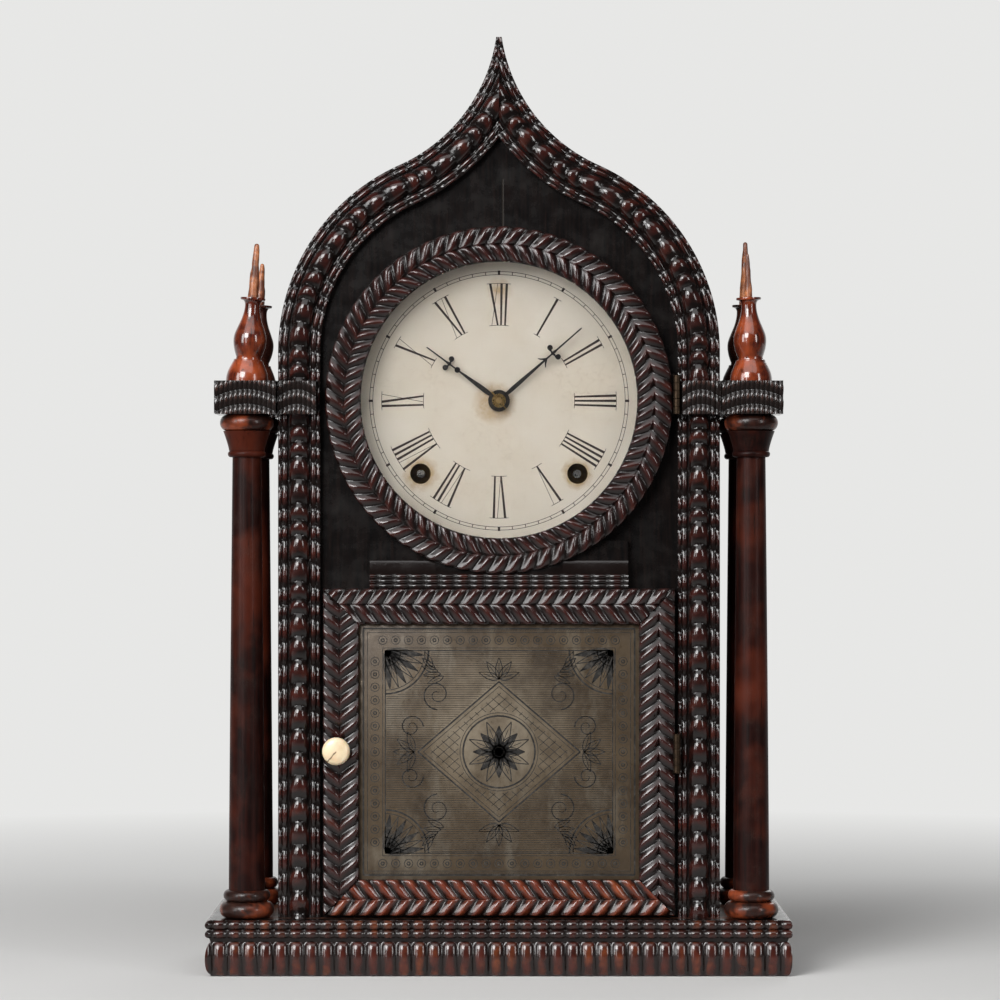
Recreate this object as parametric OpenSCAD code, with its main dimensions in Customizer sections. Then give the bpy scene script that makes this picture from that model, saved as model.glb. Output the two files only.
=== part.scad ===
// Shelf clock with an ogee-arched case, ripple mouldings, four turned columns and one door.
// Millimetres, +Z up, front towards -Y, origin at the middle of the plinth's footprint.

/* [Plinth] */
// Width over the side mouldings
base_w = 317; // [300:1:336]
// Depth from the front moulding to the back
base_d = 118; // [114:1:126]
// Height
base_h = 30; // [26:1:36]
// Thickness of the mouldings
base_moulding_t = 11; // [9:0.5:13]
// Height of the upper bead
base_bead_h = 5.2; // [4:0.1:6]
// Height of the lower bead
base_low_bead_h = 4.6; // [4:0.1:5.6]
// Step back of the foot under the bulge
base_foot_inset = 3; // [2:0.5:4]

/* [Case] */
// Width over the arch mouldings
case_w = 239.6; // [232:0.2:244]
// Depth of the sides, front edge to back board
case_d = 90; // [88:0.5:93]
// Distance of the case front behind the plinth front
case_setback = 19; // [18:0.5:20]
// Height of the straight sides
side_h = 306.9; // [300:0.5:315]
// Thickness of sides and roof
case_t = 7; // [5:0.5:8]
// Thickness of the back board
back_t = 8; // [5:0.5:9]
// Thickness of the front board
front_board_t = 5; // [4:0.25:6]
// Outer radius of the round shoulders
shoulder_r = 111; // [108:0.5:114]
// Radius of the hollow sweeps under the peak
hollow_r = 90.2; // [86:0.2:94]
// Width of the blunt peak
peak_w = 3; // [2:0.5:5]
// Lean of the peak's sides from upright
peak_lean = 8.2; // [6:0.2:12]

/* [Arch moulding] */
// Width across the moulding
moulding_w = 22.9; // [22:0.1:24]
// Thickness of its flat ground
moulding_t = 4.4; // [3:0.2:5]
// Width of the round middle reed
wide_reed_w = 11; // [10:0.1:12]
// Width of the two reeds beside it
reed_w = 3.2; // [2.8:0.1:3.4]
// Width of the two edge reeds
edge_reed_w = 2.1; // [1.8:0.1:2.2]
// Size of the blocks on the moulding: width
moulding_block_w = 20.9; // [20:0.1:21.4]
// Thickness of the blocks on the moulding
moulding_block_t = 14.5; // [13:0.5:16]

/* [Columns] */
// Distance of each column's axis from the case side
column_gap = 17.1; // [16.8:0.1:17.6]
// Front column axis behind the plinth front
column_setback = 17; // [16.8:0.1:18]
// Distance from front to rear column axis
column_spacing = 72; // [68:0.5:76]
// Radius of the foot torus
column_foot_r = 14.8; // [13:0.1:15.4]
// Radius of the torus above the foot
column_torus_r = 12.7; // [11:0.1:13.4]
// Shaft radius at the bottom
shaft_bottom_r = 9.8; // [9:0.1:10.6]
// Shaft radius at the top
shaft_top_r = 7.8; // [7:0.1:8.6]
// Height of the shaft
shaft_h = 234.6; // [225:0.1:245]
// Radius of the neck ring
neck_ring_r = 10.3; // [9.4:0.1:11]
// Radius of the cap torus
cap_r = 14.6; // [13:0.1:15.4]
// Side of the square column blocks
block_w = 33.6; // [32:0.1:33.9]
// Height of all blocks
block_h = 18; // [16:0.5:20]

/* [Finials] */
// Radius of the lower bulb
finial_r = 11.4; // [10:0.1:12.5]
// Radius of the upper bulb
finial_bulb_r = 8.9; // [8:0.1:9.6]
// Height from the block to the flange
finial_body_h = 45; // [42:0.5:50]
// Radius of the flange under the spike
finial_flange_r = 6.8; // [5:0.1:7.5]
// Tilts: front left, front right, rear left, rear right; positive leans to the right
finial_tilts = [4.2, -1.7, 3.2, 1.2]; // [-6:0.1:6]
// Spike lengths: front left, front right, rear left, rear right
finial_spikes = [30, 24.5, 24, 36]; // [18:0.5:40]
// Spike root radii: front left, front right, rear left, rear right
finial_spike_rs = [2.9, 2.0, 2.6, 2.8]; // [1.5:0.1:3.5]

/* [Dial and door] */
// Height of the dial centre
dial_z = 310.7; // [309:0.1:312]
// Outer radius of the door's ring
ring_r = 94; // [92:0.2:95]
// Radius of the opening in the ring
ring_hole_r = 74.8; // [73:0.2:76]
// Width of the ring's outer reed
ring_reed_w = 10.3; // [9.6:0.1:11]
// Half width of the door's frame
door_half_w = 95.2; // [94.5:0.1:95.2]
// Height of the door's lower edge
door_bottom_z = 31.6; // [31:0.1:33]
// Height of the door's frame
door_h = 177; // [172:0.5:180]
// Width of the stiles and rails
stile_w = 19.4; // [18:0.1:20]
// Width of their outer reed
stile_reed_w = 8.8; // [8:0.1:9.4]
// Thickness of stiles, rails and ring
door_moulding_t = 7; // [6.5:0.1:7.5]
// Thickness of the door's board
door_board_t = 4; // [3.5:0.1:5]
// Gap between door and front board
door_gap = 0.3; // [0.3:0.05:0.6]
// Half width of the bridge below the ring
bridge_half_w = 70; // [66:1:76]
// Height of the bridge
bridge_h = 15.2; // [14:0.2:16]
// Thickness of the glasses
glass_t = 2; // [1.5:0.1:2.2]
// Depth of overlap of frame on glass
rabbet = 3.2; // [2.5:0.1:4]
// Radius of the dial opening in the front board
dial_opening_r = 80; // [78:0.5:83]
// Side of the square dial plate
dial_plate_w = 172; // [168:1:176]
// Thickness of the dial plate
dial_plate_t = 1; // [0.6:0.1:1.2]
// Distance of the dial plate behind the front board's face
dial_depth = 7; // [6.5:0.1:8]

/* [Knob and hinges] */
// Distance of the knob from the door's left edge
knob_inset = 7.3; // [7:0.1:8]
// Height of the knob
knob_z = 120.9; // [112:0.5:130]
// Radius of the knob
knob_r = 7.5; // [6.5:0.1:8]
// Thickness of the knob's head
knob_t = 4.6; // [4:0.1:5]
// Radius of the knob's shaft
knob_shaft_r = 2; // [1.6:0.1:2.4]
// Length of the latch tongue from the shaft's axis
latch_len = 11; // [10:0.1:12]
// Radius of the hinge knuckles
knuckle_r = 2; // [1.6:0.1:2.1]
// Radius of the hinge pins
hinge_pin_r = 0.8; // [0.6:0.05:1]
// Height of the lower hinge above the door's bottom edge
hinge_rise = 77.4; // [60:0.1:90]
// Drop from the foot of the arch to the upper hinge's top
hinge_drop = 12.9; // [10:0.1:16]
// Length of a hinge
hinge_len = 21; // [18:0.5:24]
// Thickness of a hinge leaf
leaf_t = 0.6; // [0.5:0.05:0.65]

/* [Hands] */
// Length of the minute hand
minute_hand_l = 60; // [54:0.5:64]
// Length of the hour hand
hour_hand_l = 49; // [42:0.5:50]
// Angle of the minute hand from the top
minute_angle = 48.7; // [0:0.1:360]
// Angle of the hour hand from the top
hour_angle = 306.5; // [0:0.1:360]
// Thickness of the hands
hand_t = 0.7; // [0.5:0.05:0.9]

/* [Movement] */
// Distance between the plates
plate_gap = 30; // [30:0.5:32]
// Thickness of the plates
plate_t = 1.5; // [1.2:0.1:1.8]
// Distance from the dial plate to the front plate
motion_gap = 11; // [10.8:0.1:12]
// Sideways distance of the winding arbors
winding_x = 42.8; // [42.6:0.1:43]
// Distance of the winding arbors below the dial centre
winding_drop = 39.7; // [39.5:0.1:39.8]
// Radius of the winding arbors
winding_r = 2.2; // [2:0.1:2.4]
// Outer radius of the mainsprings
spring_r = 20.7; // [19:0.1:20.7]
// Width of the mainsprings
spring_w = 15; // [13:0.5:15.5]
// Radius of the train arbors
arbor_r = 1.2; // [1:0.05:1.25]
// Radius of the pivots
pivot_r = 0.7; // [0.5:0.05:0.75]
// Running clearance of pivots and sleeves
running_fit = 0.05; // [0.02:0.01:0.08]
// Radius of the centre arbor
centre_r = 1.6; // [1.4:0.1:1.7]
// Thickness of the train wheels
wheel_t = 1.4; // [1.2:0.1:1.5]
// Tip radius of the escape wheel
escape_r = 16.5; // [15.5:0.1:17]
// Distance from escape wheel to verge
verge_drop = 22; // [21.6:0.1:23]
// Length from the suspension to the bob's centre
pendulum_l = 198; // [185:1:205]
// Radius of the pendulum rod
rod_r = 0.9; // [0.7:0.05:1]
// Radius of the bob
bob_r = 20; // [17:0.5:22]
// Thickness of the bob
bob_t = 8; // [6:0.5:9]

/* [Gong and hammer] */
// Height of the gong's centre
gong_z = 118; // [112:1:122]
// Turns of the gong's coil
gong_turns = 5; // [3:1:6]
// Radius of the gong wire
gong_wire_r = 1.4; // [1:0.1:1.5]
// Distance between neighbouring turns
gong_pitch = 4.9; // [4:0.1:5]
// Radius of the gong's post
gong_post_r = 5.5; // [4.5:0.1:6]
// Radius of the hammer head
hammer_r = 5; // [4:0.1:5.5]
// Gap between resting hammer and gong
hammer_gap = 2.4; // [1.5:0.1:4]

/* [Hidden] */
$fn = 48;

// Depth planes, from front to back
front_y = -base_d / 2;
case_y = front_y + case_setback;
back_y = case_y + case_d;
board_back_y = case_y + front_board_t;
door_back_y = case_y - door_gap;
door_mid_y = door_back_y - door_board_t;
door_front_y = door_mid_y - door_moulding_t;
dial_y = case_y + dial_depth;
dial_back_y = dial_y + dial_plate_t;
front_plate_y = dial_back_y + motion_gap;
train_y = front_plate_y + plate_t;
back_plate_y = train_y + plate_gap;
rear_y = back_plate_y + plate_t;

// Ogee outline: shoulder centres, hollow centres and the peak
half_w = case_w / 2;
spring_z = base_h + side_h;
c1x = half_w - shoulder_r;
c2x = peak_w / 2 + hollow_r * cos(peak_lean);
arch_turn = asin((c2x - c1x) / (shoulder_r + hollow_r));
c2z = spring_z + (shoulder_r + hollow_r) * cos(arch_turn);
peak_z = c2z - hollow_r * sin(peak_lean);

// Columns and blocks
column_x = half_w + column_gap;
front_column_y = front_y + column_setback;
rear_column_y = front_column_y + column_spacing;
foot_h = 9;
torus_h = 6.2;
ring_band_h = 3.4;
cone_h = 10.8;
cap_h = 8.9;
block_z = base_h + foot_h + torus_h + shaft_h + ring_band_h + cone_h + cap_h;
block_top_z = block_z + block_h;

// Lower ends of the two hinges
hinge_zs = [door_bottom_z + hinge_rise, spring_z - hinge_drop - hinge_len];

// Small clearances between fixed pieces
seat = 0.1;

// Left half of the ogee outline, moved inwards, from the peak down to the spring line
function ogee_half(inset) =
    let (e = max(0, peak_w / 2 - inset), end = acos((c2x - e) / (hollow_r + inset)), n = 20)
    concat(
        [for (i = [0:n]) let (a = end + (90 - arch_turn - end) * i / n)
            [-c2x + (hollow_r + inset) * cos(a), c2z - (hollow_r + inset) * sin(a)]],
        [for (i = [1:n]) let (a = 90 + arch_turn + (90 - arch_turn) * i / n)
            [-c1x + (shoulder_r - inset) * cos(a), spring_z + (shoulder_r - inset) * sin(a)]]);

function flip(points) = [for (i = [len(points) - 1:-1:0]) [-points[i][0], points[i][1]]];

module ogee(inset, floor_z) {
    half = ogee_half(inset);
    polygon(concat([[half_w - inset, floor_z]], flip(half), half, [[-half_w + inset, floor_z]]));
}

// Extrudes a drawing in X and Z along Y
module along_y(y0, y1) translate([0, y1, 0]) rotate([90, 0, 0]) linear_extrude(y1 - y0) children();

// Cylinder along Y
module rod_y(x, z, r, y0, y1) translate([x, y1, z]) rotate([90, 0, 0]) cylinder(h = y1 - y0, r = r);

// Plinth

module base_core() {
    w = base_w - 2 * base_moulding_t;
    color("saddlebrown") translate([-w / 2, front_y + base_moulding_t, 0])
        cube([w, base_d - base_moulding_t, base_h]);
}

// Plinth moulding in section: 0 is its back, bulge at the bottom and two beads above
module base_section() {
    t = base_moulding_t;
    bead_r = base_bead_h / 2;
    low_r = base_low_bead_h / 2;
    bulge_h = base_h - base_bead_h - base_low_bead_h - 2;
    union() {
        square([t - bead_r, base_h]);
        translate([t - bead_r, base_h - bead_r]) circle(r = bead_r);
        translate([t - low_r, base_h - base_bead_h - low_r]) circle(r = low_r);
        polygon(concat([[0, 0]],
            [for (i = [0:12]) let (a = -90 + 180 * i / 12)
                [t - base_foot_inset + base_foot_inset * cos(a), bulge_h / 2 * (1 + sin(a))]],
            [[0, bulge_h]]));
    }
}

module base_run(length) rotate([90, 0, 90]) linear_extrude(length) base_section();

module base_front_moulding() {
    t = base_moulding_t;
    color("maroon") intersection() {
        translate([-base_w / 2, front_y + t, 0]) mirror([0, 1, 0]) base_run(base_w);
        linear_extrude(base_h) polygon([[-base_w / 2, front_y], [base_w / 2, front_y],
            [base_w / 2 - t, front_y + t], [-base_w / 2 + t, front_y + t]]);
    }
}

module base_side_mouldings() {
    t = base_moulding_t;
    color("maroon") for (side = [-1, 1]) intersection() {
        translate([side * (base_w / 2 - t), 0, 0]) mirror([side < 0 ? 1 : 0, 0, 0])
            translate([0, base_d / 2, 0]) rotate([0, 0, -90]) base_run(base_d);
        linear_extrude(base_h) polygon([[side * base_w / 2, front_y],
            [side * base_w / 2, base_d / 2], [side * (base_w / 2 - t), base_d / 2],
            [side * (base_w / 2 - t), front_y + t]]);
    }
}

// Case

module case_side(side) color("sienna") translate([side > 0 ? half_w - case_t - seat : -half_w + seat,
    case_y, base_h]) cube([case_t, case_d, side_h]);

module case_left_side() case_side(-1);
module case_right_side() case_side(1);

module roof_shells() {
    color("sienna") for (side = [0, 1]) mirror([side, 0, 0]) along_y(case_y, back_y) {
        outer = ogee_half(seat);
        inner = ogee_half(case_t + seat);
        polygon(concat(outer, [for (i = [len(inner) - 1:-1:0]) inner[i]]));
    }
}

module back_board() color("tan") along_y(back_y, back_y + back_t) ogee(seat, base_h);

module front_board() {
    fit = case_t + 2 * seat;
    opening_w = 2 * (door_half_w - 11.2);
    knob_x = -door_half_w + knob_inset;
    color([0.05, 0.05, 0.05]) along_y(case_y, board_back_y) difference() {
        ogee(fit, base_h);
        translate([0, dial_z]) circle(r = dial_opening_r);
        translate([-opening_w / 2, door_bottom_z + 10]) square([opening_w, door_h - 20]);
        translate([knob_x - knob_shaft_r - 4, knob_z - latch_len - 3])
            square([12, latch_len + 3 + knob_shaft_r + 3]);
    }
}

// Points of one half-round reed in section, from its outer to its inner edge
function reed(middle, r) = [for (a = [180:-22.5:0]) [middle + r * cos(a), moulding_t + r * sin(a)]];

// Arch moulding in section: 0 is its outer edge, reeds on a flat ground
module moulding_section() {
    edge_r = edge_reed_w / 2 - 0.1;
    side_r = reed_w / 2 - 0.05;
    side_x = edge_reed_w + reed_w / 2;
    w = moulding_w;
    polygon(concat([[0, 0], [0, moulding_t]], reed(edge_reed_w / 2, edge_r), reed(side_x, side_r),
        reed(w / 2, wide_reed_w / 2), reed(w - side_x, side_r), reed(w - edge_reed_w / 2, edge_r),
        [[w, moulding_t], [w, 0]]));
}

// Three lengths with hairline joints: upright, round shoulder and hollow, cut upright at the peak
module arch_moulding(side) {
    joint = 0.01;
    shoulder_joint = joint / shoulder_r * 180 / PI;
    hollow_joint = joint / hollow_r * 180 / PI;
    color([0.22, 0.09, 0.06]) {
        translate([side * half_w, case_y, base_h]) mirror([0, 1, 0]) mirror([side > 0 ? 1 : 0, 0])
            linear_extrude(side_h - joint) moulding_section();
        translate([side * c1x, case_y, spring_z]) rotate([90, 0, 0])
            rotate([0, 0, side > 0 ? shoulder_joint : 90 + arch_turn + shoulder_joint])
                rotate_extrude(angle = 90 - arch_turn - 2 * shoulder_joint)
                    translate([shoulder_r, 0]) mirror([1, 0]) moulding_section();
        intersection() {
            translate([side * c2x, case_y, c2z]) rotate([90, 0, 0])
                rotate([0, 0, side > 0 ? 180 + peak_lean : arch_turn - 90 + hollow_joint])
                    rotate_extrude(angle = 90 - arch_turn - peak_lean - hollow_joint)
                        translate([hollow_r, 0]) moulding_section();
            translate([side > 0 ? 0 : -half_w, case_y - 20, 0]) cube([half_w, 21, peak_z + 1]);
        }
    }
}

module left_moulding() arch_moulding(-1);
module right_moulding() arch_moulding(1);

module moulding_blocks() {
    color([0.3, 0.12, 0.08]) for (side = [-1, 1]) difference() {
        translate([side > 0 ? half_w - seat - moulding_block_w : -half_w + seat,
            case_y - moulding_block_t, block_z])
            cube([moulding_block_w, moulding_block_t, block_h]);
        translate([side * half_w, case_y, block_z - 1]) mirror([0, 1, 0])
            mirror([side > 0 ? 1 : 0, 0]) linear_extrude(block_h + 2) moulding_section();
    }
}

module column_blocks() {
    color([0.3, 0.12, 0.08]) for (side = [-1, 1], y = [front_column_y, rear_column_y])
        translate([side * (half_w + seat + block_w / 2) - block_w / 2, y - block_w / 2, block_z])
            cube([block_w, block_w, block_h]);
}

// Half outline of a torus band from z0, as height h and radius r
function bulge(z0, h, r, depth) = [for (i = [0:8]) let (a = -90 + 22.5 * i)
    [r - depth + depth * cos(a), z0 + h / 2 * (1 + sin(a))]];

function column_outline() =
    let (z1 = foot_h, z2 = z1 + torus_h, z3 = z2 + shaft_h, z4 = z3 + ring_band_h,
        z5 = z4 + cone_h, z6 = z5 + cap_h)
    concat([[0, 0]], bulge(0, foot_h, column_foot_r, 4.2), bulge(z1, torus_h, column_torus_r, 2.8),
        [for (i = [0:6]) let (t = i / 6)
            [shaft_bottom_r + (shaft_top_r - shaft_bottom_r) * pow(t, 1.2), z2 + shaft_h * t]],
        bulge(z3, ring_band_h, neck_ring_r, 1.4), [[shaft_top_r + 1.8, z4], [cap_r - 1.8, z5]],
        bulge(z5, cap_h, cap_r, 4), [[0, z6]]);

module column(side, y) translate([side * column_x, y, base_h]) rotate_extrude()
    polygon(column_outline());

module front_columns() color([0.4, 0.18, 0.1]) for (side = [-1, 1]) column(side, front_column_y);
module rear_columns() color([0.4, 0.18, 0.1]) for (side = [-1, 1]) column(side, rear_column_y);

// Finial, turned upright and then tilted, with its foot cut flat on the block
module finial(corner) {
    x = corner % 2 == 0 ? -column_x : column_x;
    y = corner < 2 ? front_column_y : rear_column_y;
    sunk = 2;
    h = finial_body_h;
    spike = finial_spikes[corner];
    root_r = finial_spike_rs[corner];
    color([0.55, 0.24, 0.1]) intersection() {
        translate([x, y, block_top_z]) rotate([0, finial_tilts[corner], 0]) rotate_extrude()
            polygon([[0, -sunk], [finial_r, -sunk], [finial_r, 1.5], [finial_r - 0.6, 4.5],
                [finial_r - 2.2, 8.5], [finial_r - 3.4, 11.5], [finial_bulb_r - 1.7, 15.2],
                [finial_bulb_r - 0.6, 18.6], [finial_bulb_r, 22.6], [finial_bulb_r - 0.4, 25.6],
                [finial_bulb_r - 2.4, 32], [finial_bulb_r - 4, 37.5], [finial_bulb_r - 4.8, h - 2.4],
                [finial_flange_r, h - 0.6], [finial_flange_r, h + 0.6], [root_r, h + 1.2],
                [root_r * 0.75, h + spike * 0.5], [root_r * 0.45, h + spike - 1],
                [root_r * 0.2, h + spike], [0, h + spike]]);
        translate([x - 30, y - 30, block_top_z]) cube([60, 60, h + spike + 10]);
    }
}

module front_left_finial() finial(0);
module front_right_finial() finial(1);
module rear_left_finial() finial(2);
module rear_right_finial() finial(3);

// Door hung on two hinges at the right

hinge_x = door_half_w + 1;
hinge_y = door_front_y - 0.5;
inner_edge_x = half_w - moulding_w;
knuckle_gap = 0.3;
knuckle_l = (hinge_len - 4 * knuckle_gap) / 5;

// The knuckles of one leaf of one hinge, bored for the pin
module knuckles(z, first, bore) {
    for (i = [first:2:4]) translate([hinge_x, hinge_y, z + i * (knuckle_l + knuckle_gap)])
        difference() {
            cylinder(h = knuckle_l, r = knuckle_r);
            translate([0, 0, -1]) cylinder(h = knuckle_l + 2, r = bore);
        }
}

// A leaf is a strip behind the knuckles, cut away round the other leaf's knuckles
module leaf(z, x, y1, first, bore) {
    difference() {
        union() {
            translate([x, hinge_y, z]) cube([leaf_t, y1 - hinge_y, hinge_len]);
            knuckles(z, first, bore);
        }
        translate([hinge_x, hinge_y, z - 1]) cylinder(h = hinge_len + 2, r = bore);
        for (i = [1 - first:2:4])
            translate([hinge_x, hinge_y, z + i * (knuckle_l + knuckle_gap) - knuckle_gap])
                cylinder(h = knuckle_l + 2 * knuckle_gap, r = knuckle_r + knuckle_gap);
    }
}

module case_hinge_leaves() color("goldenrod") for (z = hinge_zs)
    leaf(z, inner_edge_x - leaf_t, case_y - 0.5, 0, hinge_pin_r + 0.01);

module door_hinge_leaves() color("goldenrod") for (z = hinge_zs)
    leaf(z, door_half_w, door_back_y - 0.5, 1, hinge_pin_r + running_fit);

module hinge_pins() color("goldenrod") for (z = hinge_zs)
    translate([hinge_x, hinge_y, z]) cylinder(h = hinge_len, r = hinge_pin_r);

knob_x = -door_half_w + knob_inset;
door_top_z = door_bottom_z + door_h;

module door_board() {
    hole_r = ring_hole_r + rabbet - 1;
    opening_w = 2 * (door_half_w - stile_w + rabbet - 1);
    opening_h = door_h - 2 * (stile_w - rabbet + 1);
    ear_z = hinge_zs[1] - 1;
    color([0.2, 0.12, 0.08]) difference() {
        along_y(door_mid_y, door_back_y) difference() {
            union() {
                translate([0, dial_z]) circle(r = ring_r - 0.5, $fn = 96);
                translate([-door_half_w, door_bottom_z]) square([2 * door_half_w, door_h]);
                translate([-bridge_half_w, door_top_z - 1])
                    square([2 * bridge_half_w, dial_z - ring_r * 0.8 - door_top_z]);
                translate([door_half_w - 15, ear_z]) square([15, hinge_len + 2]);
            }
            translate([0, dial_z]) circle(r = hole_r, $fn = 96);
            translate([-opening_w / 2, door_bottom_z + (door_h - opening_h) / 2])
                square([opening_w, opening_h]);
        }
        rod_y(knob_x, knob_z, knob_shaft_r + running_fit, door_mid_y - 1, door_back_y + 1);
    }
}

// Stile or rail in section: 0 is the outer edge, with a rabbet for the tablet at the back
module stile_section() {
    inner_w = stile_w - stile_reed_w;
    r1 = stile_reed_w / 2;
    r2 = inner_w / 2;
    difference() {
        union() {
            square([stile_w, door_moulding_t - r2]);
            translate([r1, door_moulding_t - r1]) circle(r = r1);
            square([stile_reed_w, door_moulding_t - r1]);
            translate([stile_w - r2, door_moulding_t - r2]) circle(r = r2);
        }
        translate([stile_w - rabbet, -1]) square([rabbet + 1, glass_t + 1]);
        translate([-1, -10]) square([stile_w + 2, 10]);
    }
}

// A bar along X with its outer edge at z = 0 and both ends mitred
module mitred_bar(length) {
    intersection() {
        translate([-length / 2, door_mid_y, 0]) rotate([90, 0, 90]) linear_extrude(length)
            rotate(90) stile_section();
        along_y(door_front_y - 1, door_mid_y + 1) polygon([[-length / 2, 0], [length / 2, 0],
            [length / 2 - stile_w, stile_w], [-length / 2 + stile_w, stile_w]]);
    }
}

module door_bottom_rail() color([0.35, 0.14, 0.08])
    translate([0, 0, door_bottom_z]) mitred_bar(2 * door_half_w);

module door_top_rail() color([0.25, 0.1, 0.07])
    translate([0, 0, door_top_z]) mirror([0, 0, 1]) mitred_bar(2 * door_half_w);

module door_stile(side) {
    difference() {
        translate([side * door_half_w, 0, door_bottom_z + door_h / 2])
            rotate([0, -90 * side, 0]) mitred_bar(door_h);
        if (side < 0)
            rod_y(knob_x, knob_z, knob_shaft_r + running_fit, door_front_y - 1, door_mid_y + 1);
    }
}

module door_left_stile() color([0.25, 0.1, 0.07]) door_stile(-1);
module door_right_stile() color([0.25, 0.1, 0.07]) door_stile(1);

module tablet() {
    w = 2 * (door_half_w - stile_w + rabbet - seat);
    h = door_h - 2 * (stile_w - rabbet + seat);
    color([0.6, 0.62, 0.62]) translate([-w / 2, door_mid_y - glass_t + seat,
        door_bottom_z + (door_h - h) / 2]) cube([w, glass_t - seat, h]);
}

module bezel_ring() {
    inner_w = ring_r - ring_hole_r - ring_reed_w;
    r1 = ring_reed_w / 2;
    r2 = inner_w / 2;
    t = door_moulding_t;
    color([0.25, 0.1, 0.07]) translate([0, door_mid_y, dial_z]) rotate([90, 0, 0])
        rotate_extrude($fn = 96) difference() {
            union() {
                translate([ring_hole_r, 0]) square([inner_w, t - r2]);
                translate([ring_r - ring_reed_w, 0]) square([ring_reed_w, t - r1]);
                translate([ring_r - r1, t - r1]) circle(r = r1);
                translate([ring_hole_r + r2, t - r2]) circle(r = r2);
            }
            translate([ring_hole_r - 1, -1]) square([rabbet + 1, glass_t + 1]);
            translate([ring_hole_r - 1, -10]) square([ring_r, 10]);
        }
}

module dial_glass() color([0.85, 0.9, 0.9, 0.3])
    rod_y(0, dial_z, ring_hole_r + rabbet - seat, door_mid_y - glass_t + seat, door_mid_y);

module bridge_piece() {
    z0 = door_top_z;
    plain_h = bridge_h / 2;
    bead_r = (bridge_h - plain_h) / 4;
    color([0.12, 0.06, 0.05]) difference() {
        union() {
            translate([-bridge_half_w, door_mid_y - 3, z0])
                cube([2 * bridge_half_w, 3, bridge_h]);
            for (row = [1, 3]) translate([-bridge_half_w, door_mid_y - 3, z0 + row * bead_r])
                rotate([0, 90, 0]) cylinder(h = 2 * bridge_half_w, r = bead_r - 0.05);
        }
        rod_y(0, dial_z, ring_r + seat, door_front_y - 1, door_mid_y + 1);
        translate([-bridge_half_w - 1, door_mid_y, z0 - 1])
            cube([2 * bridge_half_w + 2, 5, bridge_h + 2]);
    }
}

module knob() {
    neck_y = door_front_y - 0.1;
    head_y = neck_y - 1.6;
    color("ivory") {
        rod_y(knob_x, knob_z, knob_shaft_r, neck_y - 1, latch_y);
        rod_y(knob_x, knob_z, knob_r * 0.6, head_y - 0.5, neck_y);
        translate([knob_x, head_y, knob_z]) rotate([90, 0, 0]) rotate_extrude()
            polygon([[0, 0], [knob_r * 0.6, 0], [knob_r - 0.5, 0.6], [knob_r, 1.6],
                [knob_r - 0.3, 2.6], [knob_r * 0.8, knob_t - 0.8], [knob_r * 0.4, knob_t - 0.1],
                [0, knob_t]]);
    }
}

latch_y = board_back_y + 0.3;
latch_t = 1.2;

module latch_tongue() color("goldenrod") difference() {
    translate([knob_x - 2.5, latch_y, knob_z - latch_len])
        cube([5, latch_t, latch_len + knob_shaft_r]);
    rod_y(knob_x, knob_z, 0.5, latch_y - 1, latch_y + latch_t + 1);
}

// Dial and hands

module dial_rails() {
    rail_l = 50;
    rail_w = half_w - case_t - 2 * seat - dial_plate_w / 2 + 6;
    color("tan") for (side = [0, 1]) mirror([side, 0, 0])
        translate([dial_plate_w / 2 - 6, dial_back_y, spring_z - rail_l])
            cube([rail_w, 10, rail_l]);
}

module dial_plate() {
    w = dial_plate_w;
    color([0.93, 0.89, 0.8]) along_y(dial_y, dial_back_y) difference() {
        translate([-w / 2, dial_z - w / 2]) square(w);
        translate([0, dial_z]) circle(r = 3.8);
        for (x = [-winding_x, winding_x]) translate([x, dial_z - winding_drop]) circle(r = 5.6);
    }
}

// A hand drawn pointing up, tapering to its tip, with pierced dots
module hand_drawing(length, boss_r, bore) {
    difference() {
        union() {
            circle(r = boss_r);
            polygon([[-1.6, 0], [1.6, 0], [1.1, length * 0.62], [0.4, length], [-0.4, length],
                [-1.1, length * 0.62]]);
            for (side = [-1, 1]) translate([side * 2.3, length * 0.66]) circle(r = 1.9);
            translate([0, length * 0.74]) circle(r = 2);
        }
        circle(r = bore);
    }
}

hour_y = dial_y - 1.6;
minute_y = hour_y - 1.6;
pipe_r = centre_r + 1.3;

module minute_hand() color([0.08, 0.08, 0.08]) translate([0, minute_y, dial_z]) rotate([90, 0, 0])
    rotate([0, 0, -minute_angle]) linear_extrude(hand_t)
        hand_drawing(minute_hand_l, 5.6, centre_r + 0.01);

module hour_hand() color([0.08, 0.08, 0.08]) translate([0, hour_y, dial_z]) rotate([90, 0, 0])
    rotate([0, 0, -hour_angle]) linear_extrude(hand_t)
        hand_drawing(hour_hand_l, 5.6, pipe_r + 0.01);

collet_t = 1.4;
pin_y = minute_y - hand_t - collet_t - 0.5;

module hand_collet() color("goldenrod") {
    difference() {
        rod_y(0, dial_z, 3.8, minute_y - hand_t - collet_t, minute_y - hand_t);
        rod_y(0, dial_z, centre_r + 0.01, minute_y - hand_t - collet_t - 1, minute_y);
    }
    taper_pin(0);
}

// Pin through the arbor in front of the collet, grown all round by extra
module taper_pin(extra) translate([0, pin_y, dial_z]) rotate([0, -40, 0]) translate([0, 0, -6])
    cylinder(h = 12, r1 = 0.3 + extra, r2 = 0.48 + extra);

// Wheels and pinions

// Wheel outline with straight-sided teeth, the first one centred on the angle phase
function teeth(count, m, phase) = let (r = count * m / 2, p = 360 / count)
    [for (i = [0:count - 1], k = [[-0.27, -1.2], [-0.1, 0.95], [0.1, 0.95], [0.27, -1.2]])
        let (a = phase + (i + k[0]) * p) (r + k[1] * m) * [cos(a), sin(a)]];

// Phase of a driven wheel so that its space meets the driver's tooth, angle is driver to driven
function mesh(angle, phase, driver, driven) =
    angle + 180 - 360 / driven * (0.5 - (angle - phase) * driver / 360);

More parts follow.
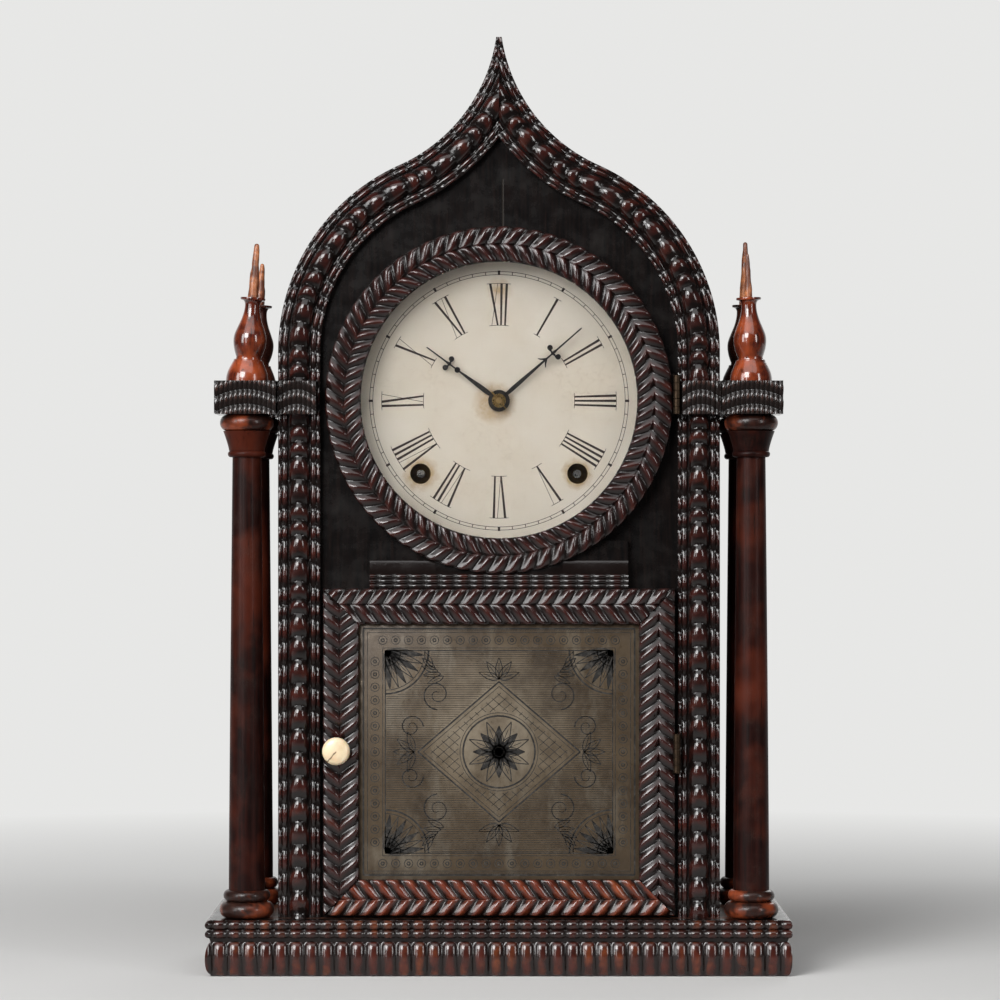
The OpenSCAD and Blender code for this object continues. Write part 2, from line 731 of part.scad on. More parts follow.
// Meeting point of circles of radius rp about p and rq about q, on the given side
function meet(p, rp, q, rq, side) =
    let (d = norm(q - p), u = (q - p) / d, a = (rp * rp - rq * rq + d * d) / (2 * d),
        h = sqrt(rp * rp - a * a))
    p + a * u + side * h * [-u[1], u[0]];

function angle_to(p, q) = atan2(q[1] - p[1], q[0] - p[0]);

module wheel(at, count, m, phase, y, bore, holes = 5) {
    r = count * m / 2;
    along_y(y, y + wheel_t) translate(at) difference() {
        polygon(teeth(count, m, phase));
        if (holes > 0) for (i = [0:holes - 1]) rotate(i * 360 / holes)
            translate([r * 0.56, 0]) circle(r = r * 0.22);
        if (bore > 0) circle(r = bore);
    }
}

// Lantern pinion: round trundles between two end plates
module lantern(at, count, m, phase, y, length) {
    r = count * m / 2;
    trundle_r = 0.5 * m;
    for (i = [0:count - 1]) let (a = phase + i * 360 / count)
        rod_y(at[0] + r * cos(a), at[1] + r * sin(a), trundle_r, y, y + length);
    for (end = [y - 0.6, y + length]) rod_y(at[0], at[1], r + 2 * trundle_r, end, end + 0.6);
}

// Arbor between the plates with a pivot in each
module arbor(at, r) {
    rod_y(at[0], at[1], r, train_y + 0.3, back_plate_y - 0.3);
    rod_y(at[0], at[1], pivot_r, front_plate_y, rear_y);
}

great_m = 0.8;
second_m = 0.65;
centre_m = 0.6;
third_m = 0.5;
motion_m = 0.6;
great_t = 60;
second_t = 64;
centre_pinion_t = 32;
centre_t = 64;
third_t = 72;
escape_t = 42;
cannon_t = 16;
minute_t = 48;
hour_pinion_t = 12;
hour_t = 48;
hour_m = motion_m * (cannon_t + minute_t) / (hour_pinion_t + hour_t);

centre = [0, dial_z];
time_at = centre + [winding_x, -winding_drop];
strike_at = centre + [-winding_x, -winding_drop];
great_mesh = great_m * (great_t + 10) / 2;
second_mesh = second_m * (second_t + centre_pinion_t) / 2;
second_at = meet(centre, second_mesh, time_at, great_mesh, 1);
strike_second_at = [-second_at[0], second_at[1]];
escape_at = centre + [0, 36];
third_at = meet(centre, centre_m * (centre_t + 8) / 2, escape_at, third_m * (third_t + 6) / 2, -1);
verge_at = escape_at + [0, verge_drop];
minute_at = centre + motion_m * (cannon_t + minute_t) / 2 * [-sin(45), -cos(45)];
fly_at = strike_second_at + second_m * (second_t + 8) / 2 * [-sin(30), cos(30)];
hammer_at = centre + [-10, -48.7];
plate_half_w = winding_x + 13.2;
plate_low_z = dial_z - winding_drop - 29.3;
plate_top_z = dial_z + 72;
pillars = [for (side = [-1, 1]) each [[side * (plate_half_w - 3.5), plate_low_z + 3.4],
    [side * (plate_half_w - 11), plate_top_z - 6.7]]];

// Places along the arbors
second_y = train_y + 3.2;
centre_wheel_y = train_y + 10.2;
third_y = train_y + 17;
escape_y = train_y + 22.6;
spring_y = train_y + 7.4;
great_y = back_plate_y - 3.6;
cannon_y = dial_back_y + 5;
hour_wheel_y = dial_back_y + 2.2;

great_phase = 0;
second_pinion_phase = mesh(angle_to(time_at, second_at), great_phase, great_t, 10);
second_phase = 1.7;
centre_pinion_phase = mesh(angle_to(second_at, centre), second_phase, second_t, centre_pinion_t);
centre_phase = 0;
third_pinion_phase = mesh(angle_to(centre, third_at), centre_phase, centre_t, 8);
third_phase = 0;
escape_pinion_phase = mesh(angle_to(third_at, escape_at), third_phase, third_t, 6);
cannon_phase = 0;
minute_phase = mesh(angle_to(centre, minute_at), cannon_phase, cannon_t, minute_t);
hour_pinion_phase = 0;
hour_phase = mesh(angle_to(minute_at, centre), hour_pinion_phase, hour_pinion_t, hour_t);
strike_pinion_phase = mesh(angle_to(strike_at, strike_second_at), great_phase, great_t, 10);
fly_phase = mesh(angle_to(strike_second_at, fly_at), second_phase, second_t, 8);

module plate_drawing() {
    difference() {
        translate([-plate_half_w, plate_low_z])
            square([2 * plate_half_w, plate_top_z - plate_low_z]);
        for (at = pillars) translate(at) circle(r = 1.5 + 0.02);
        for (at = [second_at, strike_second_at, third_at, escape_at, verge_at, fly_at])
            translate(at) circle(r = pivot_r + running_fit);
        for (at = [time_at, strike_at]) translate(at) circle(r = winding_r + running_fit);
        translate(centre) circle(r = centre_r + running_fit);
        translate(hammer_at) circle(r = 1 + running_fit);
        for (x = [-38, 38]) translate([x, dial_z + 44]) circle(r = 11);
        translate([0, dial_z - 24]) circle(r = 8);
    }
}

module front_plate() color("goldenrod") along_y(front_plate_y, train_y) difference() {
    plate_drawing();
    translate(minute_at) circle(r = pivot_r + 0.01);
}

module back_plate() color("goldenrod") along_y(back_plate_y, rear_y) plate_drawing();

// Pillars hold the plates apart and carry them on the back board
module plate_pillars() color("goldenrod") for (at = pillars) {
    rod_y(at[0], at[1], 1.5, front_plate_y - 2, rear_y + 1);
    rod_y(at[0], at[1], 2, train_y, back_plate_y);
    rod_y(at[0], at[1], 3, rear_y, back_y);
}

module mainsprings() color([0.35, 0.38, 0.45]) for (at = [time_at, strike_at])
    along_y(spring_y, spring_y + spring_w) translate(at) difference() {
        circle(r = spring_r);
        circle(r = winding_r + 0.3);
    }

module centre_arbor() color("goldenrod") {
    difference() {
        rod_y(0, dial_z, centre_r, minute_y - hand_t - collet_t - 1.6, rear_y);
        taper_pin(0.01);
    }
    wheel(centre, centre_t, centre_m, centre_phase, centre_wheel_y, 0);
    wheel(centre, centre_pinion_t, second_m, centre_pinion_phase, second_y, 0, 0);
    along_y(cannon_y, cannon_y + 2) translate(centre)
        polygon(teeth(cannon_t, motion_m, cannon_phase));
}

module minute_wheel() color("goldenrod") {
    rod_y(minute_at[0], minute_at[1], pivot_r - running_fit, hour_wheel_y - 1, train_y);
    wheel(minute_at, minute_t, motion_m, minute_phase, cannon_y + 0.3, 0);
    along_y(hour_wheel_y - 0.3, cannon_y + 0.3) translate(minute_at)
        polygon(teeth(hour_pinion_t, hour_m, hour_pinion_phase));
}

module hour_wheel() color("goldenrod") difference() {
    union() {
        rod_y(0, dial_z, pipe_r, hour_y - hand_t, hour_wheel_y + wheel_t);
        wheel(centre, hour_t, hour_m, hour_phase, hour_wheel_y, 0);
    }
    rod_y(0, dial_z, centre_r + running_fit, hour_y - 3, cannon_y);
}

// Great wheel, turning on its winding arbor
module great_wheel(at) difference() {
    union() {
        wheel(at, great_t, great_m, great_phase, great_y, 0);
        rod_y(at[0], at[1], winding_r + 1.6, great_y, back_plate_y - 0.4);
    }
    rod_y(at[0], at[1], winding_r + running_fit, great_y - 1, back_plate_y);
}

module time_main_wheel() color("goldenrod") great_wheel(time_at);

// The strike's great wheel carries the notched count wheel on its front
module strike_main_wheel() color("goldenrod") {
    count_r = 17;
    counted = [for (n = [1:12]) n * (n + 1) / 2];
    great_wheel(strike_at);
    along_y(great_y - 1, great_y) translate(strike_at) difference() {
        circle(r = count_r);
        circle(r = winding_r + 1.5);
        for (n = counted) rotate(n * 360 / 78) translate([count_r - 1.5, -0.5]) square([3, 1]);
    }
}

// Winding arbor with its ratchet wheel and squared front end
module winding_arbor(at) {
    square_w = winding_r * 1.4;
    color("silver") {
        rod_y(at[0], at[1], winding_r, train_y - 4, rear_y);
        translate([at[0] - square_w / 2, dial_y - 0.8, at[1] - square_w / 2])
            cube([square_w, train_y - 3.9 - dial_y + 0.8, square_w]);
        along_y(great_y - 3.6, great_y - 2.4) translate(at) polygon([for (i = [0:23])
            let (a = i * 7.5) (i % 2 == 0 ? 5.6 : 4.6) * [cos(2 * a), sin(2 * a)]]);
    }
}

module time_winding_arbor() winding_arbor(time_at);
module strike_winding_arbor() winding_arbor(strike_at);

module second_wheel() color("goldenrod") {
    arbor(second_at, arbor_r);
    wheel(second_at, second_t, second_m, second_phase, second_y, 0);
    lantern(second_at, 10, great_m, second_pinion_phase, great_y - 0.6, 2.4);
}

module third_wheel() color("goldenrod") {
    arbor(third_at, arbor_r);
    wheel(third_at, third_t, third_m, third_phase, third_y, 0);
    lantern(third_at, 8, centre_m, third_pinion_phase, centre_wheel_y - 0.6, 2.6);
}

module escape_wheel() color("goldenrod") {
    arbor(escape_at, pivot_r + 0.1);
    lantern(escape_at, 6, third_m, escape_pinion_phase, third_y - 0.6, 2.6);
    along_y(escape_y, escape_y + 1) translate(escape_at) difference() {
        polygon([for (i = [0:escape_t - 1], k = [[0, 1], [0.25, 0.88], [0.95, 0.88]])
            let (a = (i + k[0]) * 360 / escape_t) escape_r * k[1] * [cos(a), sin(a)]]);
        for (i = [0:4]) rotate(i * 72) translate([escape_r * 0.5, 0]) circle(r = escape_r * 0.2);
    }
}

crutch_y = rear_y + 3;
pendulum_y = rear_y + 6.5;

// Verge: bent strip over the escape wheel, its arbor and the crutch behind the plate
module verge() {
    clear_r = escape_r + 1.1;
    color("silver") {
        rod_y(verge_at[0], verge_at[1], pivot_r, front_plate_y, crutch_y + 0.6);
        rod_y(verge_at[0], verge_at[1], 1.1, escape_y - 2, escape_y + 2.5);
        along_y(escape_y - 0.3, escape_y + 1.3) difference() {
            translate(escape_at) circle(r = clear_r + 1.2);
            translate(escape_at) circle(r = clear_r);
            translate(escape_at + [-40, -40]) square([80, 40 + clear_r * 0.74]);
        }
        translate([-0.6, escape_y - 0.3, escape_at[1] + clear_r + 0.6])
            cube([1.2, 1.6, verge_drop - clear_r - 0.6]);
        translate([-0.6, crutch_y - 0.6, verge_at[1] - 38]) cube([1.2, 1.2, 38]);
        for (side = [-1, 1]) translate([side * (rod_r + 0.7) - 0.4, crutch_y - 0.6,
            verge_at[1] - 40]) cube([0.8, pendulum_y - crutch_y + 1.6, 1.2]);
        translate([-rod_r - 1.1, crutch_y - 0.6, verge_at[1] - 40])
            cube([2 * rod_r + 2.2, 1.2, 3]);
    }
}

module suspension_cock() color("goldenrod") difference() {
    translate([-4, rear_y, verge_at[1] + 1.6]) cube([8, pendulum_y - rear_y + 2.5, 6]);
    translate([-0.3, pendulum_y - 2, verge_at[1]]) cube([0.6, 4, 5]);
}

bob_z = verge_at[1] - pendulum_l;

module pendulum_rod() color("silver") {
    translate([-0.15, pendulum_y - 1.5, verge_at[1] - 14]) cube([0.3, 3, 16.5]);
    translate([0, pendulum_y, bob_z - bob_r - 5])
        cylinder(h = pendulum_l + bob_r + 5 - 13, r = rod_r);
}

// Half section of the lens-shaped bob, from its face to its flat rim
rim = [for (k = [[0.35, 0.95], [0.65, 0.78], [0.88, 0.5], [1, 0.25]])
    [bob_r * k[0], -bob_t / 2 * k[1]]];

module pendulum_bob() color("goldenrod") {
    difference() {
        translate([0, pendulum_y, bob_z]) rotate([90, 0, 0]) rotate_extrude()
            polygon(concat([[0, -bob_t / 2]], rim, [for (i = [3:-1:0]) [rim[i][0], -rim[i][1]]],
                [[0, bob_t / 2]]));
        translate([0, pendulum_y, bob_z - bob_r - 1])
            cylinder(h = 2 * bob_r + 2, r = rod_r + 0.02);
    }
    difference() {
        translate([0, pendulum_y, bob_z - bob_r - 2.6]) cylinder(h = 2.5, r = 3);
        translate([0, pendulum_y, bob_z - bob_r - 4]) cylinder(h = 5, r = rod_r + 0.02);
    }
}

// Gong and hammer

gong_y = back_y - 12;
gong_r0 = gong_post_r + gong_wire_r + 0.3;
gong_rings = 24 * gong_turns;
gong_centres = [for (i = [0:gong_rings]) let (a = 360 * i / 24)
    (gong_r0 + gong_pitch * i / 24) * [cos(a), sin(a)]];

// Least distance between the surfaces of neighbouring turns
echo(gong_least_gap = min([for (i = [0:gong_rings - 24])
    norm(gong_centres[i + 24] - gong_centres[i])]) - 2 * gong_wire_r);

module gong_coil() {
    sides = 6;
    n = gong_rings;
    points = [for (i = [0:n], k = [0:sides - 1])
        let (a = 360 * i / 24, b = 360 * k / sides, c = gong_centres[i])
        [c[0] + gong_wire_r * cos(b) * cos(a), gong_y + gong_wire_r * sin(b),
            gong_z + c[1] + gong_wire_r * cos(b) * sin(a)]];
    faces = concat(
        [for (i = [0:n - 1], k = [0:sides - 1]) let (p = i * sides, q = (k + 1) % sides)
            each [[p + k, p + sides + k, p + sides + q], [p + k, p + sides + q, p + q]]],
        [for (k = [1:sides - 2]) [0, k, k + 1]],
        [for (k = [1:sides - 2]) [n * sides, n * sides + k + 1, n * sides + k]]);
    color([0.3, 0.35, 0.5]) polyhedron(points, faces);
}

module gong_stand() color([0.15, 0.15, 0.16]) {
    rod_y(0, gong_z, gong_post_r, gong_y - 3, back_y - 3);
    rod_y(0, gong_z, 16, back_y - 4, back_y);
}

module hammer() {
    gong_r = gong_r0 + gong_pitch * gong_turns + gong_wire_r;
    reach = gong_r + hammer_gap + hammer_r;
    head = [-reach * sin(38), gong_z + reach * cos(38)];
    fall = head - hammer_at;
    color("silver") {
        rod_y(hammer_at[0], hammer_at[1], 1, front_plate_y, gong_y + 1);
        translate([hammer_at[0], gong_y, hammer_at[1]])
            rotate([0, 90 - atan2(fall[1], fall[0]), 0]) cylinder(h = norm(fall) - 1, r = 0.8);
        rod_y(head[0], head[1], hammer_r, gong_y - 4, gong_y + 4);
    }
}

module strike_second_wheel() color("goldenrod") {
    arbor(strike_second_at, arbor_r);
    wheel(strike_second_at, second_t, second_m, second_phase, great_y - 2.9, 0);
    lantern(strike_second_at, 10, great_m, strike_pinion_phase, great_y - 0.6, 2.4);
}

module fly() color("goldenrod") {
    arbor(fly_at, pivot_r + 0.1);
    lantern(fly_at, 8, second_m, fly_phase, great_y - 3.5, 2.4);
    translate([fly_at[0] - 11, train_y + 8, fly_at[1] - 0.4]) cube([22, 12, 0.8]);
}

base_core();
base_front_moulding();
base_side_mouldings();
case_left_side();
case_right_side();
roof_shells();
back_board();
front_board();
left_moulding();
right_moulding();
moulding_blocks();
column_blocks();
front_columns();
rear_columns();
front_left_finial();
front_right_finial();
rear_left_finial();
rear_right_finial();
case_hinge_leaves();
hinge_pins();
dial_rails();
dial_plate();
front_plate();
back_plate();
plate_pillars();
mainsprings();
suspension_cock();
gong_stand();
gong_coil();
door_board();
door_left_stile();
door_right_stile();
door_top_rail();
door_bottom_rail();
tablet();
bezel_ring();
dial_glass();
bridge_piece();
door_hinge_leaves();
knob();
latch_tongue();
minute_hand();
centre_arbor();
hand_collet();
hour_hand();
hour_wheel();
minute_wheel();
time_main_wheel();
time_winding_arbor();
second_wheel();
third_wheel();
escape_wheel();
verge();
pendulum_rod();
pendulum_bob();
hammer();
strike_main_wheel();
strike_winding_arbor();
strike_second_wheel();
fly();
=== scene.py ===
# %% [markdown]
# # A ripple-moulded shelf clock, dressed in Blender
# The CAD model brings every solid and every joint. This lesson gives it the surfaces that a
# collector would look for: rippled rosewood, a painted dial, a silvered tablet, old brass.
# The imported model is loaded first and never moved, so every new piece has a fixed place to fit.

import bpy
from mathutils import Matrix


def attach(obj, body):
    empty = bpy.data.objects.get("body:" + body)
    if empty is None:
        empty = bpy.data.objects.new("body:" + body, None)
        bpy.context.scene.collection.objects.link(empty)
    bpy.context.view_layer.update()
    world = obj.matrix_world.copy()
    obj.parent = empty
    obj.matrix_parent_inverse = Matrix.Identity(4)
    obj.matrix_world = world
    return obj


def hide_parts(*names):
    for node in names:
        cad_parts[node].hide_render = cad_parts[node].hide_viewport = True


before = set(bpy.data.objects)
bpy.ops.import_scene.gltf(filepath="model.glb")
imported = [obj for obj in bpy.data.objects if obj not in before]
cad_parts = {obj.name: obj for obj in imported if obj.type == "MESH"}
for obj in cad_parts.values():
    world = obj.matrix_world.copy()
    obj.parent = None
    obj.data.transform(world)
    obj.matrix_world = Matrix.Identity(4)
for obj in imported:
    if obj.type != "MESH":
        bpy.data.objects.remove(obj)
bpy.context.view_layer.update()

# %% [markdown]
# Everything below is drawn in millimetres, as the CAD is, and turned into metres at the last
# step. Random numbers come from one seeded source, so each run gives the same clock.

# %% Imports, units and the seed
import math

import bpy
import numpy as np
from mathutils import Vector

MM = 0.001
rng = np.random.default_rng(1870)


def deselect():
    """Leaves nothing selected, because operators act on all that is selected."""
    if bpy.context.object and bpy.context.object.mode != "OBJECT":
        bpy.ops.object.mode_set(mode="OBJECT")
    bpy.ops.object.select_all(action="DESELECT")


def only(piece):
    deselect()
    piece.select_set(True)
    bpy.context.view_layer.objects.active = piece


deselect()
print("units and seed are set")

# %% [markdown]
# The main sizes, copied from the CAD source. The outline of the arch is two arcs a side: a round
# shoulder and a hollow sweep that meets its mirror image at a blunt peak. The mouldings and the
# roof follow it, so the lengths along the middle of a moulding are worked out here too.

# %% Sizes of the case, in millimetres
BASE_W, BASE_D, BASE_H, BASE_T = 317.0, 118.0, 30.0, 11.0
FRONT_Y, CASE_Y, BACK_Y = -59.0, -40.0, 50.0
HALF_W, SPRING_Z = 119.8, 336.9
SHOULDER_X, SHOULDER_R = 8.8, 111.0
HOLLOW_R, PEAK_W, PEAK_LEAN = 90.2, 3.0, math.radians(8.2)
HOLLOW_X = PEAK_W / 2 + HOLLOW_R * math.cos(PEAK_LEAN)
ARCH_TURN = math.asin((HOLLOW_X - SHOULDER_X) / (SHOULDER_R + HOLLOW_R))
HOLLOW_Z = SPRING_Z + (SHOULDER_R + HOLLOW_R) * math.cos(ARCH_TURN)
ARCH_W = 22.9
ARCH_MIDDLE = ARCH_W / 2
UPRIGHT_L = SPRING_Z - BASE_H
SHOULDER_L = (SHOULDER_R - ARCH_MIDDLE) * (math.pi / 2 - ARCH_TURN)
HOLLOW_L = (HOLLOW_R + ARCH_MIDDLE) * (math.pi / 2 - ARCH_TURN - PEAK_LEAN)
ARCH_L = UPRIGHT_L + SHOULDER_L + HOLLOW_L
COLUMN_X, FRONT_COLUMN_Y, REAR_COLUMN_Y = 136.9, -42.0, 30.0
BLOCK_Z, BLOCK_H = 302.9, 18.0
DIAL_Z, DIAL_Y = 310.7, -33.0
DOOR_MID_Y, DOOR_HALF_W, DOOR_Z, DOOR_H = -44.3, 95.2, 31.6, 177.0
DOOR_W, DOOR_TOP = 2 * DOOR_HALF_W, DOOR_Z + DOOR_H
TABLET_Z, TABLET_Y, TABLET_EDGE = DOOR_Z + DOOR_H / 2, -46.2, 16.3
KNOB_X, KNOB_Z = -87.9, 120.9
print("arch turns over at", round(math.degrees(ARCH_TURN), 2), "degrees from upright")

# %% [markdown]
# ## Shader helpers
# Materials here are small graphs of nodes. They could be clicked together in the shader editor,
# but a line of code for each node is easier to compare and change. `add` makes a node and sets its
# values, short helpers name the kinds used most, and `material` starts one with its Principled
# shader. Places and lengths inside a material are in metres, because it reads object coordinates.

# %% Node helpers
def add(tree, kind, values=None, **settings):
    """Adds a node, sets its properties and fills or links its inputs."""
    made = tree.nodes.new(kind)
    for key, value in settings.items():
        setattr(made, key, value)
    for key, value in (values or {}).items():
        if isinstance(value, bpy.types.NodeSocket):
            tree.links.new(value, made.inputs[key])
        else:
            made.inputs[key].default_value = value
    return made


def fade(tree, value, start, end, low=0.0, high=1.0):
    """Maps a value from start..end to low..high, held at both ends."""
    made = add(tree, "ShaderNodeMapRange", {"Value": value, "From Min": start, "From Max": end,
                                            "To Min": low, "To Max": high})
    return made.outputs["Result"]


def mixed(tree, amount, a, b):
    made = add(tree, "ShaderNodeMix", data_type="RGBA")
    for socket, value in ((made.inputs[0], amount), (made.inputs[6], a), (made.inputs[7], b)):
        if isinstance(value, bpy.types.NodeSocket):
            tree.links.new(value, socket)
        elif isinstance(value, (int, float)):
            socket.default_value = value
        else:
            socket.default_value = (*value, 1)
    return made.outputs[2]


def math_node(tree, operation, a, b=0.0):
    return add(tree, "ShaderNodeMath", {0: a, 1: b}, operation=operation).outputs[0]


def noise(tree, vector, scale, detail=4.0, rough=0.55, stretch=(1, 1, 1), distortion=0.0):
    """Noise on coordinates in metres; scale is in features per metre."""
    moved = add(tree, "ShaderNodeMapping", {"Vector": vector, "Scale": stretch})
    made = add(tree, "ShaderNodeTexNoise", {"Vector": moved.outputs[0], "Scale": scale,
               "Detail": detail, "Roughness": rough, "Distortion": distortion})
    return made.outputs["Fac"]


def coordinates(tree):
    return add(tree, "ShaderNodeTexCoord").outputs["Object"]


def attribute(tree, name, output="Fac"):
    return add(tree, "ShaderNodeAttribute", attribute_name=name).outputs[output]


def material(name, **values):
    """A new material and its tree and shader, with constant values set on the shader's sockets."""
    made = bpy.data.materials.new(name)
    made.use_nodes = True
    shader = made.node_tree.nodes["Principled BSDF"]
    for key, value in values.items():
        shader.inputs[key.replace("_", " ").title().replace("Ior", "IOR")].default_value = value
    return made, made.node_tree, shader


def feed(tree, shader, **sockets):
    for key, socket in sockets.items():
        tree.links.new(socket, shader.inputs[key.replace("_", " ").title()])


def bump(tree, shader, height, strength, distance):
    made = add(tree, "ShaderNodeBump", {"Height": height, "Strength": strength,
                                        "Distance": distance})
    feed(tree, shader, normal=made.outputs["Normal"])


print("node helpers are ready")

# %% [markdown]
# ### Effects that several finishes share
# Real finishes have things in common: wood has streaks along its length, polish is thin where
# hands and dusters pass, dust lies in hollows, and old metal is blotched. Each of these is a node
# group, built once and used with its own values in each material.

# %% A helper that starts a node group
def group(name, inputs, outputs):
    """A new group's tree and the sockets inside it; v, f and c are vector, number and colour."""
    tree = bpy.data.node_groups.new(name, "ShaderNodeTree")
    kinds = {"v": "NodeSocketVector", "f": "NodeSocketFloat", "c": "NodeSocketColor"}
    for label, kind, default in inputs:
        socket = tree.interface.new_socket(label, in_out="INPUT", socket_type=kinds[kind])
        if default is not None:
            socket.default_value = default
    for label, kind in outputs:
        tree.interface.new_socket(label, in_out="OUTPUT", socket_type=kinds[kind])
    return tree, tree.nodes.new("NodeGroupInput").outputs, tree.nodes.new("NodeGroupOutput").inputs


def use(tree, shared, values):
    """Places a group in a tree with its own values and gives its outputs."""
    return add(tree, "ShaderNodeGroup", values, node_tree=shared).outputs


print("groups can be made")

# %% Wood grain: long streaks, pores and broad changes of tone
GRAIN, g_in, g_out = group(
    "Wood grain",
    [("Vector", "v", None), ("Dark", "c", (0, 0, 0, 1)), ("Middle", "c", (0, 0, 0, 1)),
     ("Light", "c", (0, 0, 0, 1)), ("Stretch", "v", (1, 1, 0.06)), ("Streaks", "f", 700.0),
     ("Patches", "f", 30.0)],
    [("Color", "c"), ("Height", "f"), ("Patch", "f")])
scaled = add(GRAIN, "ShaderNodeVectorMath", {0: g_in["Vector"], 1: g_in["Stretch"]},
             operation="MULTIPLY").outputs[0]
streaks = add(GRAIN, "ShaderNodeTexNoise", {"Vector": scaled, "Scale": g_in["Streaks"],
              "Detail": 5.0, "Roughness": 0.65, "Distortion": 0.4}).outputs["Fac"]
patches = add(GRAIN, "ShaderNodeTexNoise", {"Vector": g_in["Vector"], "Scale": g_in["Patches"],
              "Detail": 3.0, "Roughness": 0.6}).outputs["Fac"]
toned = mixed(GRAIN, fade(GRAIN, streaks, 0.36, 0.66), g_in["Dark"], g_in["Middle"])
toned = mixed(GRAIN, fade(GRAIN, patches, 0.46, 0.72), toned, g_in["Light"])
pores = fade(GRAIN, streaks, 0.3, 0.4)
GRAIN.links.new(mixed(GRAIN, pores, g_in["Dark"], toned), g_out["Color"])
GRAIN.links.new(streaks, g_out["Height"])
GRAIN.links.new(patches, g_out["Patch"])
print("grain group:", len(GRAIN.nodes), "nodes")

# %% Polish: how rough an old shellac is, from smears, fine dust and bare spots
POLISH, g_in, g_out = group(
    "Old polish", [("Vector", "v", None), ("Gloss", "f", 0.14), ("Dull", "f", 0.5)],
    [("Roughness", "f"), ("Dust", "f")])
smears = noise(POLISH, g_in["Vector"], 90, 5, 0.6)
specks = noise(POLISH, g_in["Vector"], 1500, 2, 0.6)
dirt = math_node(POLISH, "MULTIPLY", fade(POLISH, smears, 0.48, 0.75),
                 fade(POLISH, specks, 0.4, 0.7))
rough = add(POLISH, "ShaderNodeMapRange", {"Value": smears, "From Min": 0.35, "From Max": 0.85,
            "To Min": g_in["Gloss"], "To Max": g_in["Dull"]}).outputs["Result"]
POLISH.links.new(rough, g_out["Roughness"])
POLISH.links.new(dirt, g_out["Dust"])
print("polish group:", len(POLISH.nodes), "nodes")

# %% Wear: where the dark polish has gone from the crests and shows the red wood
WEAR, g_in, g_out = group(
    "Wear on crests", [("Vector", "v", None), ("Crest", "f", 0.0), ("Start", "f", 0.55),
                       ("Amount", "f", 1.0)], [("Mask", "f"), ("Hollow", "f")])
broken = noise(WEAR, g_in["Vector"], 140, 4, 0.6)
reach = math_node(WEAR, "ADD", g_in["Crest"],
                  math_node(WEAR, "MULTIPLY", math_node(WEAR, "SUBTRACT", broken, 0.5), 1.3))
worn = add(WEAR, "ShaderNodeMapRange", {"Value": reach, "From Min": g_in["Start"],
           "From Max": 1.15, "To Min": 0.0, "To Max": g_in["Amount"]}).outputs["Result"]
WEAR.links.new(worn, g_out["Mask"])
# Hollow is 1 in the grooves; the rippled finishes use it for roughness and for painted shade there.
WEAR.links.new(fade(WEAR, g_in["Crest"], 0.0, 0.3, 1.0, 0.0), g_out["Hollow"])
print("wear group:", len(WEAR.nodes), "nodes")

# %% Tarnish: blotches on old metal
TARNISH, g_in, g_out = group(
    "Tarnish", [("Vector", "v", None), ("Clean", "c", (0.8, 0.6, 0.3, 1)),
                ("Stained", "c", (0.2, 0.12, 0.05, 1)), ("Scale", "f", 120.0),
                ("Gloss", "f", 0.25), ("Dull", "f", 0.6)],
    [("Color", "c"), ("Roughness", "f"), ("Height", "f")])
blots = add(TARNISH, "ShaderNodeTexNoise", {"Vector": g_in["Vector"], "Scale": g_in["Scale"],
            "Detail": 6.0, "Roughness": 0.65}).outputs["Fac"]
stained = fade(TARNISH, blots, 0.42, 0.7)
fine = noise(TARNISH, g_in["Vector"], 2400, 3, 0.6)
TARNISH.links.new(mixed(TARNISH, stained, g_in["Clean"], g_in["Stained"]), g_out["Color"])
TARNISH.links.new(add(TARNISH, "ShaderNodeMapRange", {"Value": stained, "To Min": g_in["Gloss"],
                  "To Max": g_in["Dull"]}).outputs["Result"], g_out["Roughness"])
TARNISH.links.new(fine, g_out["Height"])
print("tarnish group:", len(TARNISH.nodes), "nodes")

# %% [markdown]
# ## The finishes
# The case is rosewood and mahogany under very old shellac, nearly black and red where it has worn.
# In the hollows of the waves the colour is darkened further as painted shade. The ripple mouldings
# carry an attribute, crest, that is 1 on top of each wave and 0 in each groove, so their finish
# knows where hands and dusters have rubbed and where the hollows are.

# %% Rippled rosewood, in several tones
def rippled(name, dark, red, amber, start, amount, gloss, amber_amount=0.5):
    """start is how high on a wave the wear begins, amount how far it goes at the crest."""
    made, tree, shader = material(name, specular_ior_level=0.3, coat_ior=1.42,
                                  coat_roughness=0.1)
    where = coordinates(tree)
    crest = attribute(tree, "crest")
    polish = use(tree, POLISH, {"Vector": where, "Gloss": gloss, "Dull": 0.26})
    wear = use(tree, WEAR, {"Vector": where, "Crest": crest, "Start": start, "Amount": amount})
    blush = fade(tree, noise(tree, where, 55, 3, 0.6), 0.5, 0.72, 0.0, amber_amount)
    body = mixed(tree, wear["Mask"], dark, mixed(tree, blush, red, amber))
    # Painted shade: the grooves of the waves are darkened toward a quarter of the dark colour.
    body = mixed(tree, math_node(tree, "MULTIPLY", wear["Hollow"], 0.85), body,
                 tuple(c * 0.25 for c in dark))
    body = mixed(tree, math_node(tree, "MULTIPLY", polish["Dust"], 0.015), body, (0.3, 0.27, 0.23))
    rough = math_node(tree, "ADD", polish["Roughness"],
                      math_node(tree, "MULTIPLY", wear["Hollow"], 0.12))
    feed(tree, shader, base_color=body, roughness=rough,
         coat_weight=fade(tree, wear["Hollow"], 0, 1, 0.5, 0.05))
    bump(tree, shader, noise(tree, where, 900, 4, 0.6), 0.25, 0.0002)
    return made


